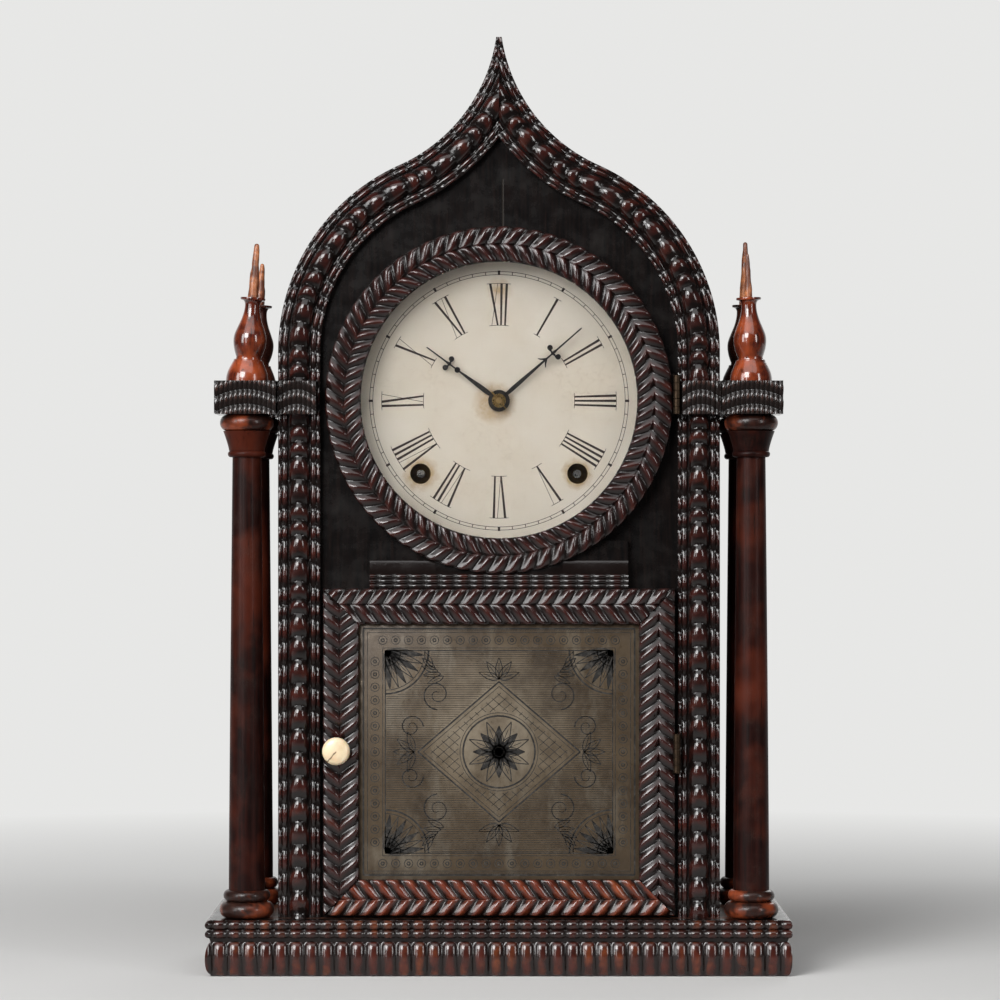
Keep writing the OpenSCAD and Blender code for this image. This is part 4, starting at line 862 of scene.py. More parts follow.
for label, length, corner, along, finish, node in (
        ("bottom", DOOR_W, (-DOOR_HALF_W, DOOR_Z), (1, 0), BOTTOM_WOOD, "door_bottom_rail"),
        ("right", DOOR_H, (DOOR_HALF_W, DOOR_Z), (0, 1), FRAME_WOOD, "door_right_stile"),
        ("top", DOOR_W, (DOOR_HALF_W, DOOR_TOP), (-1, 0), FRAME_WOOD, "door_top_rail"),
        ("left", DOOR_H, (-DOOR_HALF_W, DOOR_TOP), (0, -1), FRAME_WOOD, "door_left_stile")):
    door_bar(f"door_frame_{label}", length, corner, along, finish, node)

# %% Ring round the dial
RING_SECTION = soft_groove(reed_row([(4.9, 4.9, 2.1, 4.9), (14.5, 4.7, 2.1, 4.9)], 1.85,
                                    (0.0, 19.2), (22, 22), 0.8), GROOVE_SOFT)
STRANDS, STRAND_STEPS, RING_R, GROOVE_R = 68, 14, 94.0, 83.7


def ring_place(s, u, h):
    turn = s / GROOVE_R
    return (-(RING_R - u) * np.sin(turn), DOOR_MID_Y - h, DIAL_Z + (RING_R - u) * np.cos(turn))


pitch = 2 * math.pi * GROOVE_R / STRANDS
s = (np.arange(STRANDS * STRAND_STEPS) / STRAND_STEPS * pitch)[:, None]
ring = skin("door_ring", *door_rows(ring_place, s, RING_SECTION, (7.0, 7.8), pitch, 16.0),
            loop=True)
finish_piece(ring, "door", FRAME_WOOD, ["bezel_ring"])

# %% [markdown]
# The bridge fills the gap between ring and frame. It has three rows of small beads below a plain
# strip. It is run straight as the other mouldings are, and then hollowed to the ring's curve with
# a boolean cut, which is what a carver's gouge does.

# %% Bridge between ring and frame
BRIDGE_HALF, BRIDGE_H, BRIDGE_BEAD, BRIDGE_BEAD_Y = 70, 15.2, 1.28, 3.5
BRIDGE_ROWS, BRIDGE_CUT, BRIDGE_GROOVE_X, RING_GAP = (1.35, 3.95, 6.55), 0.95, 1.2, 0.1


def bridge_rows():
    profile = [(0.0, 0.0, 0.0)]
    for middle in BRIDGE_ROWS:
        for a in np.radians(np.linspace(-86, 86, 9)):
            profile.append((middle + BRIDGE_BEAD * math.sin(a), BRIDGE_BEAD_Y,
                            BRIDGE_BEAD * math.cos(a)))
    profile += [(7.8, 3.0, 0.0), (7.9, 3.2, 0.0), (14.6, 3.2, 0.0), (BRIDGE_H, 2.7, 0.0),
                (BRIDGE_H, 0.0, 0.0)]
    z, base, out = np.array(profile).T
    s = np.linspace(-BRIDGE_HALF, BRIDGE_HALF, 300)[:, None]
    f = wave((s - BRIDGE_GROOVE_X) / RIB_PITCH, 0.5, 2.0)
    depth = base + np.maximum(out - BRIDGE_CUT * (1 - f), 0.0)
    rows = np.stack([s + 0 * depth, DOOR_MID_Y - depth, DOOR_TOP + z + 0 * depth], axis=-1)
    return rows, np.where(out > 0.05, f * 0.8, 0.3)


def facing_disc(radius, thick, y, sides):
    """A round plate round the dial's centre that faces the front; y is its middle."""
    deselect()
    bpy.ops.mesh.primitive_cylinder_add(vertices=sides, radius=radius * MM, depth=thick * MM,
                                        location=(0, y * MM, DIAL_Z * MM),
                                        rotation=(math.pi / 2, 0, 0))
    return bpy.context.object


bridge = skin("door_bridge", *bridge_rows())
cutter = facing_disc(RING_R + RING_GAP, 30, -45, 192)
only(bridge)
cut = bridge.modifiers.new("room for the ring", "BOOLEAN")
cut.operation, cut.object, cut.solver = "DIFFERENCE", cutter, "EXACT"
bpy.ops.object.modifier_apply(modifier=cut.name)
bpy.data.objects.remove(cutter)
finish_piece(bridge, "door", ROSEWOOD, ["bridge_piece"])

# %% [markdown]
# ## Blocks
# Above each column sits a square block, fluted all round, and a flatter one lies on each arch
# moulding. Two waves lie across every face, curved like eyebrows. The outline of the block, with
# its flutes, is carried upwards and pulled in and out by the waves.

# %% Two flat blocks and four on the columns
FLUTE_STEPS, FLUTE_DEPTH, BROW_DEPTH, BROW_PITCH = 7, 0.55, 1.05, 7.9
FLAT_BLOCK_X, FLAT_BLOCK_Y, COLUMN_BLOCK_X, BLOCK_HALF = (98.8, 119.7), -54.5, (119.9, 153.5), 16.8


def fluted_block(name, x0, x1, y0, y1, flutes, sides):
    """sides says which faces are fluted: front, right, back, left."""
    outline = []
    corners = [(x0, y0), (x1, y0), (x1, y1), (x0, y1)]
    for k, out in enumerate(((0, -1), (1, 0), (0, 1), (-1, 0))):
        (ax, ay), (bx, by) = corners[k], corners[(k + 1) % 4]
        count = flutes * FLUTE_STEPS if sides[k] else 2
        for t in np.arange(count) / count:
            outline.append((ax + (bx - ax) * t, ay + (by - ay) * t, *out, t, float(sides[k])))
    px, py, nx, ny, t, live = np.array(outline).T
    z = np.linspace(0, BLOCK_H, 44)[:, None]
    flute = np.abs(np.sin(math.pi * flutes * t)) ** 0.7
    eyebrow = wave((z + 4.4 * (2 * t - 1)[None, :] ** 2 - 5.3) / BROW_PITCH, 0.62, 1.6)
    inward = live * (FLUTE_DEPTH * (1 - flute) + BROW_DEPTH * (1 - eyebrow) + 0.1)
    from_corner = np.minimum(t, 1 - t)[None, :] * (x1 - x0)
    inward = inward * np.clip(from_corner / 0.5, 0.35, 1)
    rows = np.stack([px - nx * inward, py - ny * inward, BLOCK_Z + z + 0 * inward], axis=-1)
    return skin(name, rows, np.where(live > 0, eyebrow * (0.4 + 0.6 * flute), 0.2))


for side, label in ((-1, "left"), (1, "right")):
    a, b = sorted(side * x for x in FLAT_BLOCK_X)
    flat = fluted_block(f"moulding_block_{label}", a, b, FLAT_BLOCK_Y, CASE_Y, 8, (1, 0, 0, 0))
    finish_piece(flat, "root", BLOCK_WOOD, ["moulding_blocks"] if side > 0 else ())
    a, b = sorted(side * x for x in COLUMN_BLOCK_X)
    for y, row in ((FRONT_COLUMN_Y, "front"), (REAR_COLUMN_Y, "rear")):
        cube = fluted_block(f"column_block_{row}_{label}", a, b, y - BLOCK_HALF, y + BLOCK_HALF,
                            13, (1, 1, 1, 1))
        nodes = ["column_blocks"] if side > 0 and row == "front" else ()
        finish_piece(cube, "root", BLOCK_WOOD, nodes)

# %% [markdown]
# ## Turned work
# Columns, finials and the knob came off a lathe, so they are made as a turner would: a profile is
# drawn from the centre line out and spun round its axis.

# %% A lathe: spin a profile round an upright axis
def lathe(name, profile, steps=56):
    """profile is a list of (radius, height) in millimetres, both ends on the axis."""
    mesh = bpy.data.meshes.new(name)
    mesh.from_pydata([(r * MM, 0, z * MM) for r, z in profile],
                     [(i, i + 1) for i in range(len(profile) - 1)], [])
    piece = bpy.data.objects.new(name, mesh)
    bpy.context.scene.collection.objects.link(piece)
    only(piece)
    edit_all()
    bpy.ops.mesh.spin(steps=steps, angle=2 * math.pi, center=(0, 0, 0), axis=(0, 0, 1))
    bpy.ops.mesh.select_all(action="SELECT")
    bpy.ops.mesh.remove_doubles(threshold=3e-6)
    turn_outwards()
    return piece


def rounded(points, steps=6):
    """A smooth curve through the points (Catmull-Rom), for the bellies of turned work."""
    p = np.array([points[0], *points, points[-1]], float)
    made = []
    for k in range(1, len(p) - 2):
        for t in np.linspace(0, 1, steps, endpoint=False):
            a, b, c, d = p[k - 1], p[k], p[k + 1], p[k + 2]
            made.append(0.5 * (2 * b + (c - a) * t + (2 * a - 5 * b + 4 * c - d) * t ** 2
                               + (3 * b - a - 3 * c + d) * t ** 3))
    return [tuple(v) for v in made] + [tuple(p[-1])]


def torus(z0, h, r, depth, steps=12):
    """A half-round ring of height h from z0, of radius r at its fullest."""
    return [(r - depth + depth * math.cos(a), z0 + h / 2 * (1 + math.sin(a)))
            for a in np.linspace(-math.pi / 2, math.pi / 2, steps)]


def put(piece, x, y, z, tilt=0.0):
    """Leans the mesh to the right by tilt degrees and moves it into place."""
    c, s = math.cos(math.radians(tilt)), math.sin(math.radians(tilt))
    at = points_of(piece)
    turned = np.stack([at[:, 0] * c + at[:, 2] * s, at[:, 1], at[:, 2] * c - at[:, 0] * s], 1)
    place_points(piece, turned + np.array([x, y, z]) * MM)


def second_finish(piece, finish, chosen):
    """Gives the finish to the faces whose middle is at a chosen height in millimetres."""
    piece.data.materials.append(finish)
    for face in piece.data.polygons:
        if chosen(face.center.z / MM):
            face.material_index = 1


print("the lathe is ready")

# %% Four columns
RINGS_TOP, SHAFT_TOP, CAP_FROM, COLUMN_H = 15.2, 249.8, 264.0, 272.9
FLARE_FROM, FLARE_H = 253.2, 10.8


def column(name, x, y, node):
    shaft = [(9.8 - 2.0 * t ** 1.2, RINGS_TOP + (SHAFT_TOP - RINGS_TOP) * t)
             for t in np.linspace(0, 1, 24)]
    flare = [(9.6 + 3.2 * t ** 1.25, FLARE_FROM + FLARE_H * t) for t in np.linspace(0, 1, 8)]
    profile = [(0, 0), (9, 0), *torus(0, 9.0, 14.8, 4.2), *torus(9.0, 6.2, 12.7, 2.8), *shaft,
               *torus(SHAFT_TOP, 3.4, 10.3, 1.4, 8), *flare,
               *torus(CAP_FROM, 8.9, 14.6, 4.0), (9, COLUMN_H), (0, COLUMN_H)]
    piece = lathe(name, profile)
    put(piece, x, y, BASE_H)
    finish_piece(piece, "root", COLUMN_WOOD, node, smooth=50)
    second_finish(piece, CAP_WOOD, lambda z: z > BASE_H + CAP_FROM or z < BASE_H + RINGS_TOP)


for side, label in ((-1, "left"), (1, "right")):
    for y, row in ((FRONT_COLUMN_Y, "front"), (REAR_COLUMN_Y, "rear")):
        column(f"{row}_column_{label}", side * COLUMN_X, y, [f"{row}_columns"] if side > 0 else ())

# %% [markdown]
# The finials are turned too, but each ends in a spike that was broken off and whittled again, so
# the four differ in height and lean. The spike's rings of points are pushed in and out by seeded
# random numbers, as a knife leaves them.

# %% Four finials
FINIAL_BODY = rounded([(11.4, 0), (11.3, 2.2), (10.7, 5.0), (9.3, 8.3), (8.0, 11.0)])
FINIAL_NECK = [(7.9, 11.6), (7.0, 11.9), (6.7, 13.0), (7.2, 14.2)]
FINIAL_BULB = rounded([(7.2, 14.2), (8.3, 17.6), (8.9, 21.6), (8.6, 25.2), (7.2, 29.2),
                       (5.4, 33.8), (4.3, 38.2), (4.1, 42.0), (4.9, 43.8)])
RIM_H, BLOCK_TOP, WHITTLE = 45.0, BLOCK_Z + BLOCK_H, 0.13


def finial(name, x, y, tilt, spike, root, finish, node):
    """spike is the length above the rim and root its radius there."""
    rim = [(6.6, RIM_H - 0.7), (6.8, RIM_H - 0.1), (6.7, RIM_H + 0.5), (root + 0.3, RIM_H + 0.8)]
    point = [(root * (1 - 0.55 * t ** 1.2), RIM_H + 1 + (spike - 2) * t)
             for t in np.linspace(0, 1, 12)]
    top = RIM_H + spike
    piece = lathe(name, [(0, -2), (11.4, -2), *FINIAL_BODY[:-1], *FINIAL_NECK, *FINIAL_BULB[1:],
                         *rim, *point, (root * 0.36, top - 0.35), (root * 0.18, top), (0, top)], 48)
    at = points_of(piece)
    turn = np.arctan2(at[:, 1], at[:, 0])
    up = (at[:, 2] / MM - RIM_H - 1) / spike
    cuts = rng.uniform(0, 2 * math.pi, 4)
    dents = sum(np.cos(turn * k + cuts[k - 2] + up * 7 * k) / k for k in (2, 3, 4, 5))
    share = np.clip(up * 8, 0, 1) * (up > 0)
    at[:, :2] *= (1 + WHITTLE * dents * share)[:, None]
    place_points(piece, at)
    put(piece, x, y, BLOCK_TOP, tilt)
    saw(piece, (x, y, BLOCK_TOP), (0, 0, -1))
    finish_piece(piece, "root", finish, [node], smooth=50)
    second_finish(piece, SPIKE_WOOD, lambda z: z > BLOCK_TOP + RIM_H + 0.9)


for place, x, y, tilt, spike, root, finish in (
        ("front_left", -COLUMN_X, FRONT_COLUMN_Y, 4.2, 30, 2.9, FINIAL_WOOD),
        ("front_right", COLUMN_X, FRONT_COLUMN_Y, -1.7, 24.5, 2.0, FINIAL_WOOD),
        ("rear_left", -COLUMN_X, REAR_COLUMN_Y, 3.2, 24, 2.6, SHADED_REAR_FINIAL),
        ("rear_right", COLUMN_X, REAR_COLUMN_Y, 1.2, 36, 2.8, SHADED_REAR_FINIAL)):
    finial(f"finial_{place}", x, y, tilt, spike, root, finish, f"{place}_finial")

# %% [markdown]
# The knob is a small bone button on the door's left stile. It is turned upright on the same lathe,
# and its points are then laid over, so that its axis runs out of the door.

# %% Bone knob
KNOB_SEAT_Y = -51.3
knob = lathe("bone_knob", [(0, -3), (2.0, -3), (2.0, 0.1), (4.5, 0.1), (4.4, 1.1),
             *rounded([(4.6, 1.7), (6.9, 2.2), (7.5, 3.2), (7.3, 4.2), (6.0, 5.4), (3.2, 6.1)], 4),
             (0, 6.3)], 40)
at = points_of(knob)
place_points(knob, np.stack([at[:, 0] + KNOB_X * MM, KNOB_SEAT_Y * MM - at[:, 2],
                             at[:, 1] + KNOB_Z * MM], 1))
only(knob)
edit_all()
turn_outwards()
finish_piece(knob, "knob_shaft", BONE, ["knob"], smooth=50)

# %% [markdown]
# ## Dial
# The plate itself is the CAD's. Numerals and the minute track are thin layers of ink on it, drawn
# stroke by stroke as a dial painter lays them out: a thick and a thin line for each V and X, hair
# lines to close them, all standing radially.

# %% Flat shapes: quads placed one by one, then given a thickness
def facing_front(corners):
    """The corners in the order that turns the face towards the front."""
    area = sum(a[0] * b[1] - b[0] * a[1] for a, b in zip(corners, corners[1:] + corners[:1]))
    return corners if area > 0 else corners[::-1]


def inlay_count(piece):
    piece.update_from_editmode()
    return len(piece.data.polygons)


def select_faces(piece, chosen):
    """Leaves edit mode on, with only the chosen faces selected."""
    bpy.ops.object.mode_set(mode="EDIT")
    bpy.ops.mesh.select_all(action="DESELECT")
    bpy.ops.mesh.select_mode(type="FACE")
    bpy.ops.object.mode_set(mode="OBJECT")
    for face in piece.data.polygons:
        face.select = chosen(face)
    bpy.ops.object.mode_set(mode="EDIT")


def delete_faces(piece, chosen):
    select_faces(piece, chosen)
    bpy.ops.mesh.delete(type="FACE")
    bpy.ops.object.mode_set(mode="OBJECT")


def inlay(name, quads, y, thickness, finish, body):
    """quads are lists of four (x, z) corners in millimetres, laid on the plane y, facing front."""
    deselect()
    bpy.ops.mesh.primitive_plane_add(size=1)
    piece = named(name)
    bpy.ops.object.mode_set(mode="EDIT")
    while inlay_count(piece) < len(quads):
        bpy.ops.mesh.select_all(action="SELECT")
        bpy.ops.mesh.duplicate()
    bpy.ops.object.mode_set(mode="OBJECT")
    at = np.zeros((len(piece.data.vertices), 3))
    for face in piece.data.polygons:
        corners = facing_front(quads[face.index % len(quads)])
        for vertex, (x, z) in zip(face.vertices, corners):
            at[vertex] = (x * MM, y * MM, z * MM)
    place_points(piece, at)
    delete_faces(piece, lambda face: face.index >= len(quads))
    thick = piece.modifiers.new("thickness", "SOLIDIFY")
    thick.thickness, thick.offset = thickness * MM, 1.0
    bpy.ops.object.modifier_apply(modifier=thick.name)
    edit_all()
    turn_outwards()
    finish_piece(piece, body, finish, smooth=30)


def ribbon(points, width):
    """Quads of a line of the given width along points; a width may be given for each point."""
    p = np.array(points, float)
    w = np.broadcast_to(width, len(p)) / 2
    step = np.gradient(p, axis=0)
    step /= np.maximum(np.linalg.norm(step, axis=1), 1e-9)[:, None]
    side = np.stack([-step[:, 1], step[:, 0]], 1) * w[:, None]
    a, b = p + side, p - side
    return [[a[i], b[i], b[i + 1], a[i + 1]] for i in range(len(p) - 1)]


print("inlays and ribbons are ready")

# %% Strokes of the numerals
INNER, OUTER, PINCH, SPREAD = 41.2, 64.0, 0.86, 1.12
WIDTHS = {"I": 2.55, "V": 5.1, "X": 5.1}
NUMERALS = ["XII", "I", "II", "III", "IIII", "V", "VI", "VII", "VIII", "IX", "X", "XI"]


def on_dial(hour, across, radius):
    a = math.radians(30 * hour)
    return (radius * math.sin(a) + across * math.cos(a),
            DIAL_Z + radius * math.cos(a) - across * math.sin(a))


def stroke(hour, low, high, thick):
    """One stroke from place low at the inner end to place high at the outer end."""
    w0, w1 = (0.95, 1.35) if thick else (0.28, 0.28)
    a, b = low * PINCH, high * SPREAD
    return [on_dial(hour, a - w0 / 2, INNER), on_dial(hour, a + w0 / 2, INNER),
            on_dial(hour, b + w1 / 2, OUTER), on_dial(hour, b - w1 / 2, OUTER)]


def numeral(hour, letters):
    """Quads of one numeral: its strokes, and a hair line that closes them at each end."""
    half = sum(WIDTHS[c] for c in letters) / 2
    quads, x = [], -half
    for c in letters:
        w = WIDTHS[c]
        if c == "I":
            quads.append(stroke(hour, x + w / 2, x + w / 2, True))
        elif c == "V":
            quads.append(stroke(hour, x + w / 2, x + 0.8, True))
            quads.append(stroke(hour, x + w / 2 + 0.2, x + w - 0.5, False))
        else:
            quads.append(stroke(hour, x + w - 0.8, x + 0.8, True))
            quads.append(stroke(hour, x + 0.6, x + w - 0.6, False))
        x += w
    for r, scale in ((INNER, PINCH), (OUTER, SPREAD)):
        ends = np.linspace(-half * scale - 0.9, half * scale + 0.9, 6)
        quads += ribbon([on_dial(hour, a, math.sqrt(max(r * r - a * a, 1))) for a in ends], 0.3)
    return quads


print("a numeral of", len(numeral(8, "VIII")), "quads can be drawn")

# %% Numerals and minute track
TRACK_IN, TRACK_OUT, FIVE_OUT = 68.8, 70.5, 71.0
ink = [q for hour, letters in enumerate(NUMERALS) for q in numeral(hour, letters)]
for r in (TRACK_IN, TRACK_OUT):
    turn = np.linspace(0, 2 * math.pi, 181)
    ink += ribbon([(r * math.sin(a), DIAL_Z + r * math.cos(a)) for a in turn], 0.3)
for minute in range(60):
    out, width = (FIVE_OUT, 1.3) if minute % 5 == 0 else (TRACK_OUT, 0.4)
    ink += ribbon([on_dial(minute / 5, 0, TRACK_IN), on_dial(minute / 5, 0, out)], width)
inlay("dial_numerals", ink, DIAL_Y, 0.04, INK, "root")

# %% [markdown]
# ## Tablet
# The tablet below the dial carries a plain ornament of the workshop's own: a lozenge with a
# petalled flower, scrolls round it, fans in the corners and a double border. Every line is a
# ribbon, as a needle would scratch it through the silver. It could be a picture on the glass, but
# real lines stay sharp from near and catch the light.

# %% The needle: lines, arcs, petals and scrolls round the tablet's middle
lines = []


def curve(points, width):
    lines.extend(ribbon([(x, TABLET_Z + z) for x, z in points], width))


def arc(x, z, r, start, end, width, steps=14):
    turn = np.radians(np.linspace(start, end, steps))
    curve([(x + r * math.cos(a), z + r * math.sin(a)) for a in turn], width)


def rectangle(w, h, width):
    corners = [(-w, -h), (w, -h), (w, h), (-w, h)]
    for a, b in zip(corners, corners[1:] + corners[:1]):
        curve([a, b], width)


def petal(x, z, length, half, turn, width=0.5, filled=False):
    """Two arcs that meet in a point, with a vein between them or filled dark."""
    t = np.linspace(0, 1, 9)
    c, s = math.cos(math.radians(turn)), math.sin(math.radians(turn))
    for side in (-1, 1):
        a, b = length * t, side * half * np.sin(math.pi * t ** 0.8)
        curve(np.stack([x + a * c - b * s, z + a * s + b * c], 1), width)
    if filled:
        curve(np.stack([x + length * t * c, z + length * t * s], 1),
              1.5 * half * np.sin(math.pi * t ** 0.8))
    else:
        curve([(x + at * length * c, z + at * length * s) for at in (0.25, 0.75)], 0.35)


def scroll(x, z, size, start, way, turns=1.6, width=0.75):
    t = np.linspace(0, 1, 26)
    r = size * (1 - 0.86 * t)
    a = math.radians(start) + way * t * turns * 2 * math.pi
    curve(np.stack([x + r * np.cos(a), z + r * np.sin(a)], 1), width * (1 - 0.5 * t))


def shade(points, inside, width):
    """Straight lines along a row of points, wherever they are inside."""
    found = []
    for point in [*points, None]:
        if point is not None and inside(*point):
            found.append(point)
        else:
            if len(found) > 1:
                curve([found[0], found[-1]], width)
            found = []


print("the needle is ready")

# %% Border of the tablet: double lines, a row of small rings and fans in the corners
CORNER_X, CORNER_Z, FAN_TURN = 61.6, 54.9, {(1, 1): 180, (-1, 1): 270, (-1, -1): 0, (1, -1): 90}
for w, h, width in ((73.5, 66.8, 0.9), (71.3, 64.6, 0.35), (63.0, 56.3, 0.35),
                    (CORNER_X, CORNER_Z, 0.6)):
    rectangle(w, h, width)
small_rings = [(x, z) for x in np.arange(-63, 64, 7.0) for z in (-60.5, 60.5)]
small_rings += [(x, z) for z in np.arange(-49, 50, 7.0) for x in (-67.2, 67.2)]
for x, z in small_rings:
    arc(x, z, 2.4, 0, 360, 0.4, 9)
    arc(x, z, 0.9, 0, 360, 0.7, 7)
for (sx, sz), start in sorted(FAN_TURN.items()):
    x, z = sx * CORNER_X, sz * CORNER_Z
    for r, w in ((8.5, 0.5), (21.5, 0.4), (23.5, 0.9)):
        arc(x, z, r, start, start + 90, w)
    for k in range(7):
        petal(x, z, 21.0, 1.9, start + 7 + 12.7 * k, filled=k % 2 == 0)
print("border:", len(lines), "short ribbons")

# %% Flower in a lozenge, with a lattice round it
for k in range(16):
    petal(0, 0, 17.5 if k % 2 else 14.0, 2.4, 22.5 * k, 0.55, k % 2 == 0)
for r, width, steps in ((3.4, 1.0, 20), (19.5, 0.9, 40), (21.2, 0.35, 40)):
    arc(0, 0, r, 0, 360, width, steps)
for w, h, width in ((44.0, 38.0, 0.9), (41.0, 35.4, 0.35)):
    for sx in (-1, 1):
        for sz in (-1, 1):
            curve([(sx * w, 0), (0, sz * h)], width)


def in_lattice(x, z):
    return abs(x) / 39.5 + abs(z) / 34.2 < 1 and math.hypot(x, z) > 22


for k in np.arange(-36, 37, 3.0):
    for way in (-1, 1):
        shade([(t + k, way * 0.86 * (t - k)) for t in np.linspace(-40, 40, 81)], in_lattice, 0.34)
print("with the flower:", len(lines), "short ribbons")

# %% Scrolls and leaves round the lozenge
for sx in (-1, 1):
    right = 0 if sx > 0 else 180
    for sz in (-1, 1):
        scroll(sx * 33.5, sz * 31.0, 8.2, 90 if sz < 0 else 270, sx * sz)
        scroll(sx * 47.5, sz * 13.5, 6.6, 180 - right, -sx * sz)
        for k in range(5):
            petal(sx * (30.0 + 1.5 * k), sz * (41.0 + 1.2 * k), 9.5, 1.5,
                  right + sx * sz * (-25 + 22 * k))
    for k in range(-2, 3):
        petal(sx * 46.0, 0, 11.5, 1.9, right + 36 * k)
    for k in range(-2, 3):
        petal(0, sx * 39.5, 11.5, 1.9, sx * 90 + 36 * k)
print("with the scrolls:", len(lines), "short ribbons")

# %% Fine lines of the ground and strokes of the border, and the whole laid on the tablet
def on_ground(x, z):
    near_fan = math.hypot(CORNER_X - abs(x), CORNER_Z - abs(z)) < 24.5
    return abs(x) / 45.0 + abs(z) / 38.9 > 1 and not near_fan


for z in np.arange(-54.0, 54.5, 1.2):
    shade([(x, z) for x in np.arange(-61.0, 61.5, 1.0)], on_ground, 0.30)
for x in np.arange(-72.6, 73, 1.3):
    for z in (-65.9, 65.9):
        curve([(x - 0.5, z - 0.6), (x + 0.5, z + 0.6)], 0.3)
print("ornament:", len(lines), "short ribbons")
inlay("tablet_ornament", lines, TABLET_Y, 0.03, ETCHED, "door")

# %% [markdown]
# Behind the lines lies the silvered slab, a cube with its edges bevelled, and over the dial a
# round pane. The pane's faces are inset a little, so that its rim shades as an edge.

# %% Silvered slab behind the ornament
def slab(name, x0, x1, y0, y1, z0, z1, edge):
    deselect()
    middle = [(a + b) / 2 * MM for a, b in ((x0, x1), (y0, y1), (z0, z1))]
    bpy.ops.mesh.primitive_cube_add(size=1, location=middle)
    piece = named(name)
    piece.scale = ((x1 - x0) * MM, (y1 - y0) * MM, (z1 - z0) * MM)
    bpy.ops.object.transform_apply(location=True, rotation=True, scale=True)
    edit_all()
    bpy.ops.mesh.bevel(offset=edge * MM, segments=2, affect="EDGES")
    bpy.ops.object.mode_set(mode="OBJECT")
    return piece


half = DOOR_HALF_W - TABLET_EDGE
silver = slab("tablet_silvering", -half, half, TABLET_Y, DOOR_MID_Y, DOOR_Z + TABLET_EDGE,
              DOOR_TOP - TABLET_EDGE, 0.15)
finish_piece(silver, "door", SILVER, ["tablet"])

# %% Glass over the dial
GLASS_R, GLASS_T, GLASS_Y = 77.9, 1.9, -45.25
facing_disc(GLASS_R, GLASS_T, GLASS_Y, 128)
glass = named("dial_glass_pane")
bpy.ops.object.transform_apply(location=True, rotation=True, scale=True)
select_faces(glass, lambda face: abs(face.normal.y) > 0.9)
bpy.ops.mesh.inset(thickness=0.4 * MM)
bpy.ops.object.mode_set(mode="OBJECT")
finish_piece(glass, "door", GLASS, ["dial_glass"])

# %% [markdown]
# ## Hands
# The hands are cut from thin black iron. Each has a tapered blade, a pair of dots on curved arms
# and a round boss; the minute hand has two barbs as well, and the hour hand a round knot. Each
# part is a filled circle whose points are laid along an outline, and the parts are joined and
# extruded together.

# %% Parts of a hand, drawn pointing up and then turned to their hour
def flat_shape(outlines, thickness, y, turn, name):
    """Closed flat outlines (across, along) in millimetres, turned clockwise, joined as one hand."""
    deselect()
    parts = []
    c, s = math.cos(turn), math.sin(turn)
    for outline in outlines:
        bpy.ops.mesh.primitive_circle_add(vertices=len(outline), radius=1, fill_type="NGON")
        part = bpy.context.object
        for vertex, (a, r) in zip(part.data.vertices, outline):
            vertex.co = ((a * c + r * s) * MM, y * MM, (DIAL_Z + r * c - a * s) * MM)
        parts.append(part)
        deselect()
    for part in parts:
        part.select_set(True)
    bpy.context.view_layer.objects.active = parts[0]
    bpy.ops.object.join()
    piece = named(name)
    edit_all()
    bpy.ops.mesh.extrude_region_move(TRANSFORM_OT_translate={"value": (0, -thickness * MM, 0)})
    turn_outwards()
    return piece


def disc(a, r, size, count=24):
    return [(a + size * math.cos(t), r + size * math.sin(t))
            for t in np.linspace(0, 2 * math.pi, count, endpoint=False)]


def blade(widths):
    """Outline of a blade from (place along, width) pairs."""
    return [(-w / 2, r) for r, w in widths] + [(w / 2, r) for r, w in reversed(widths)]


def limb(side, points, w0, w1):
    """Outline of a curved arm or barb on one side, its width going from w0 to w1."""
    p = np.array([(side * a, r) for a, r in points], float)
    step = np.gradient(p, axis=0)
    step /= np.linalg.norm(step, axis=1)[:, None]
    wide = np.stack([-step[:, 1], step[:, 0]], 1) * (np.linspace(w0, w1, len(p)) / 2)[:, None]
    return [tuple(v) for v in p + wide] + [tuple(v) for v in (p - wide)[::-1]]


print("parts of a hand can be drawn")

# %% Minute hand and hour hand
HAND_T, MINUTE_Y, HOUR_Y = 0.7, -36.2, -34.6
MINUTE_TURN, HOUR_TURN = math.radians(48.7), math.radians(306.5)
minute = [disc(0, 0, 5.7, 40), blade([(4, 1.7), (9, 2.3), (16, 2.2), (26, 1.5), (38, 0.85),
          (40, 1.6), (42, 0.95), (50, 0.85), (59.4, 0.75), (60.0, 0.4)])]
for side in (-1, 1):
    minute += [limb(side, [(0, 38.6), (1.4, 39.2), (2.4, 38.9), (3.3, 39.6)], 1.1, 0.8),
               disc(side * 3.35, 39.9, 1.5),
               limb(side, [(0, 34.2), (1.0, 33.0), (2.0, 31.9), (3.2, 31.0)], 1.3, 0.45)]
hour = [disc(0, 0, 5.9, 40), blade([(4, 1.8), (9, 2.7), (14, 2.5), (22, 1.5), (27, 0.9), (33, 0.8),
        (34.4, 1.5), (36, 0.9), (42, 0.8), (48.4, 0.7), (49.0, 0.4)]), disc(0, 28.2, 1.6)]
for side in (-1, 1):
    hour += [limb(side, [(0, 33.2), (1.2, 33.8), (2.1, 33.4), (2.8, 34.0)], 1.1, 0.8),
             disc(side * 2.9, 34.3, 1.5)]
hand = flat_shape(minute, HAND_T, MINUTE_Y, MINUTE_TURN, "minute_hand_blade")
finish_piece(hand, "centre", IRON, ["minute_hand"], smooth=30)
hand = flat_shape(hour, HAND_T, HOUR_Y, HOUR_TURN, "hour_hand_blade")
finish_piece(hand, "hour", IRON, ["hour_hand"], smooth=30)

# %% [markdown]
# ## Roof
# Two thin boards were steamed and bent over the case, one for each half of the ogee. They are
# swept along the same arcs as the mouldings, a little inside them.

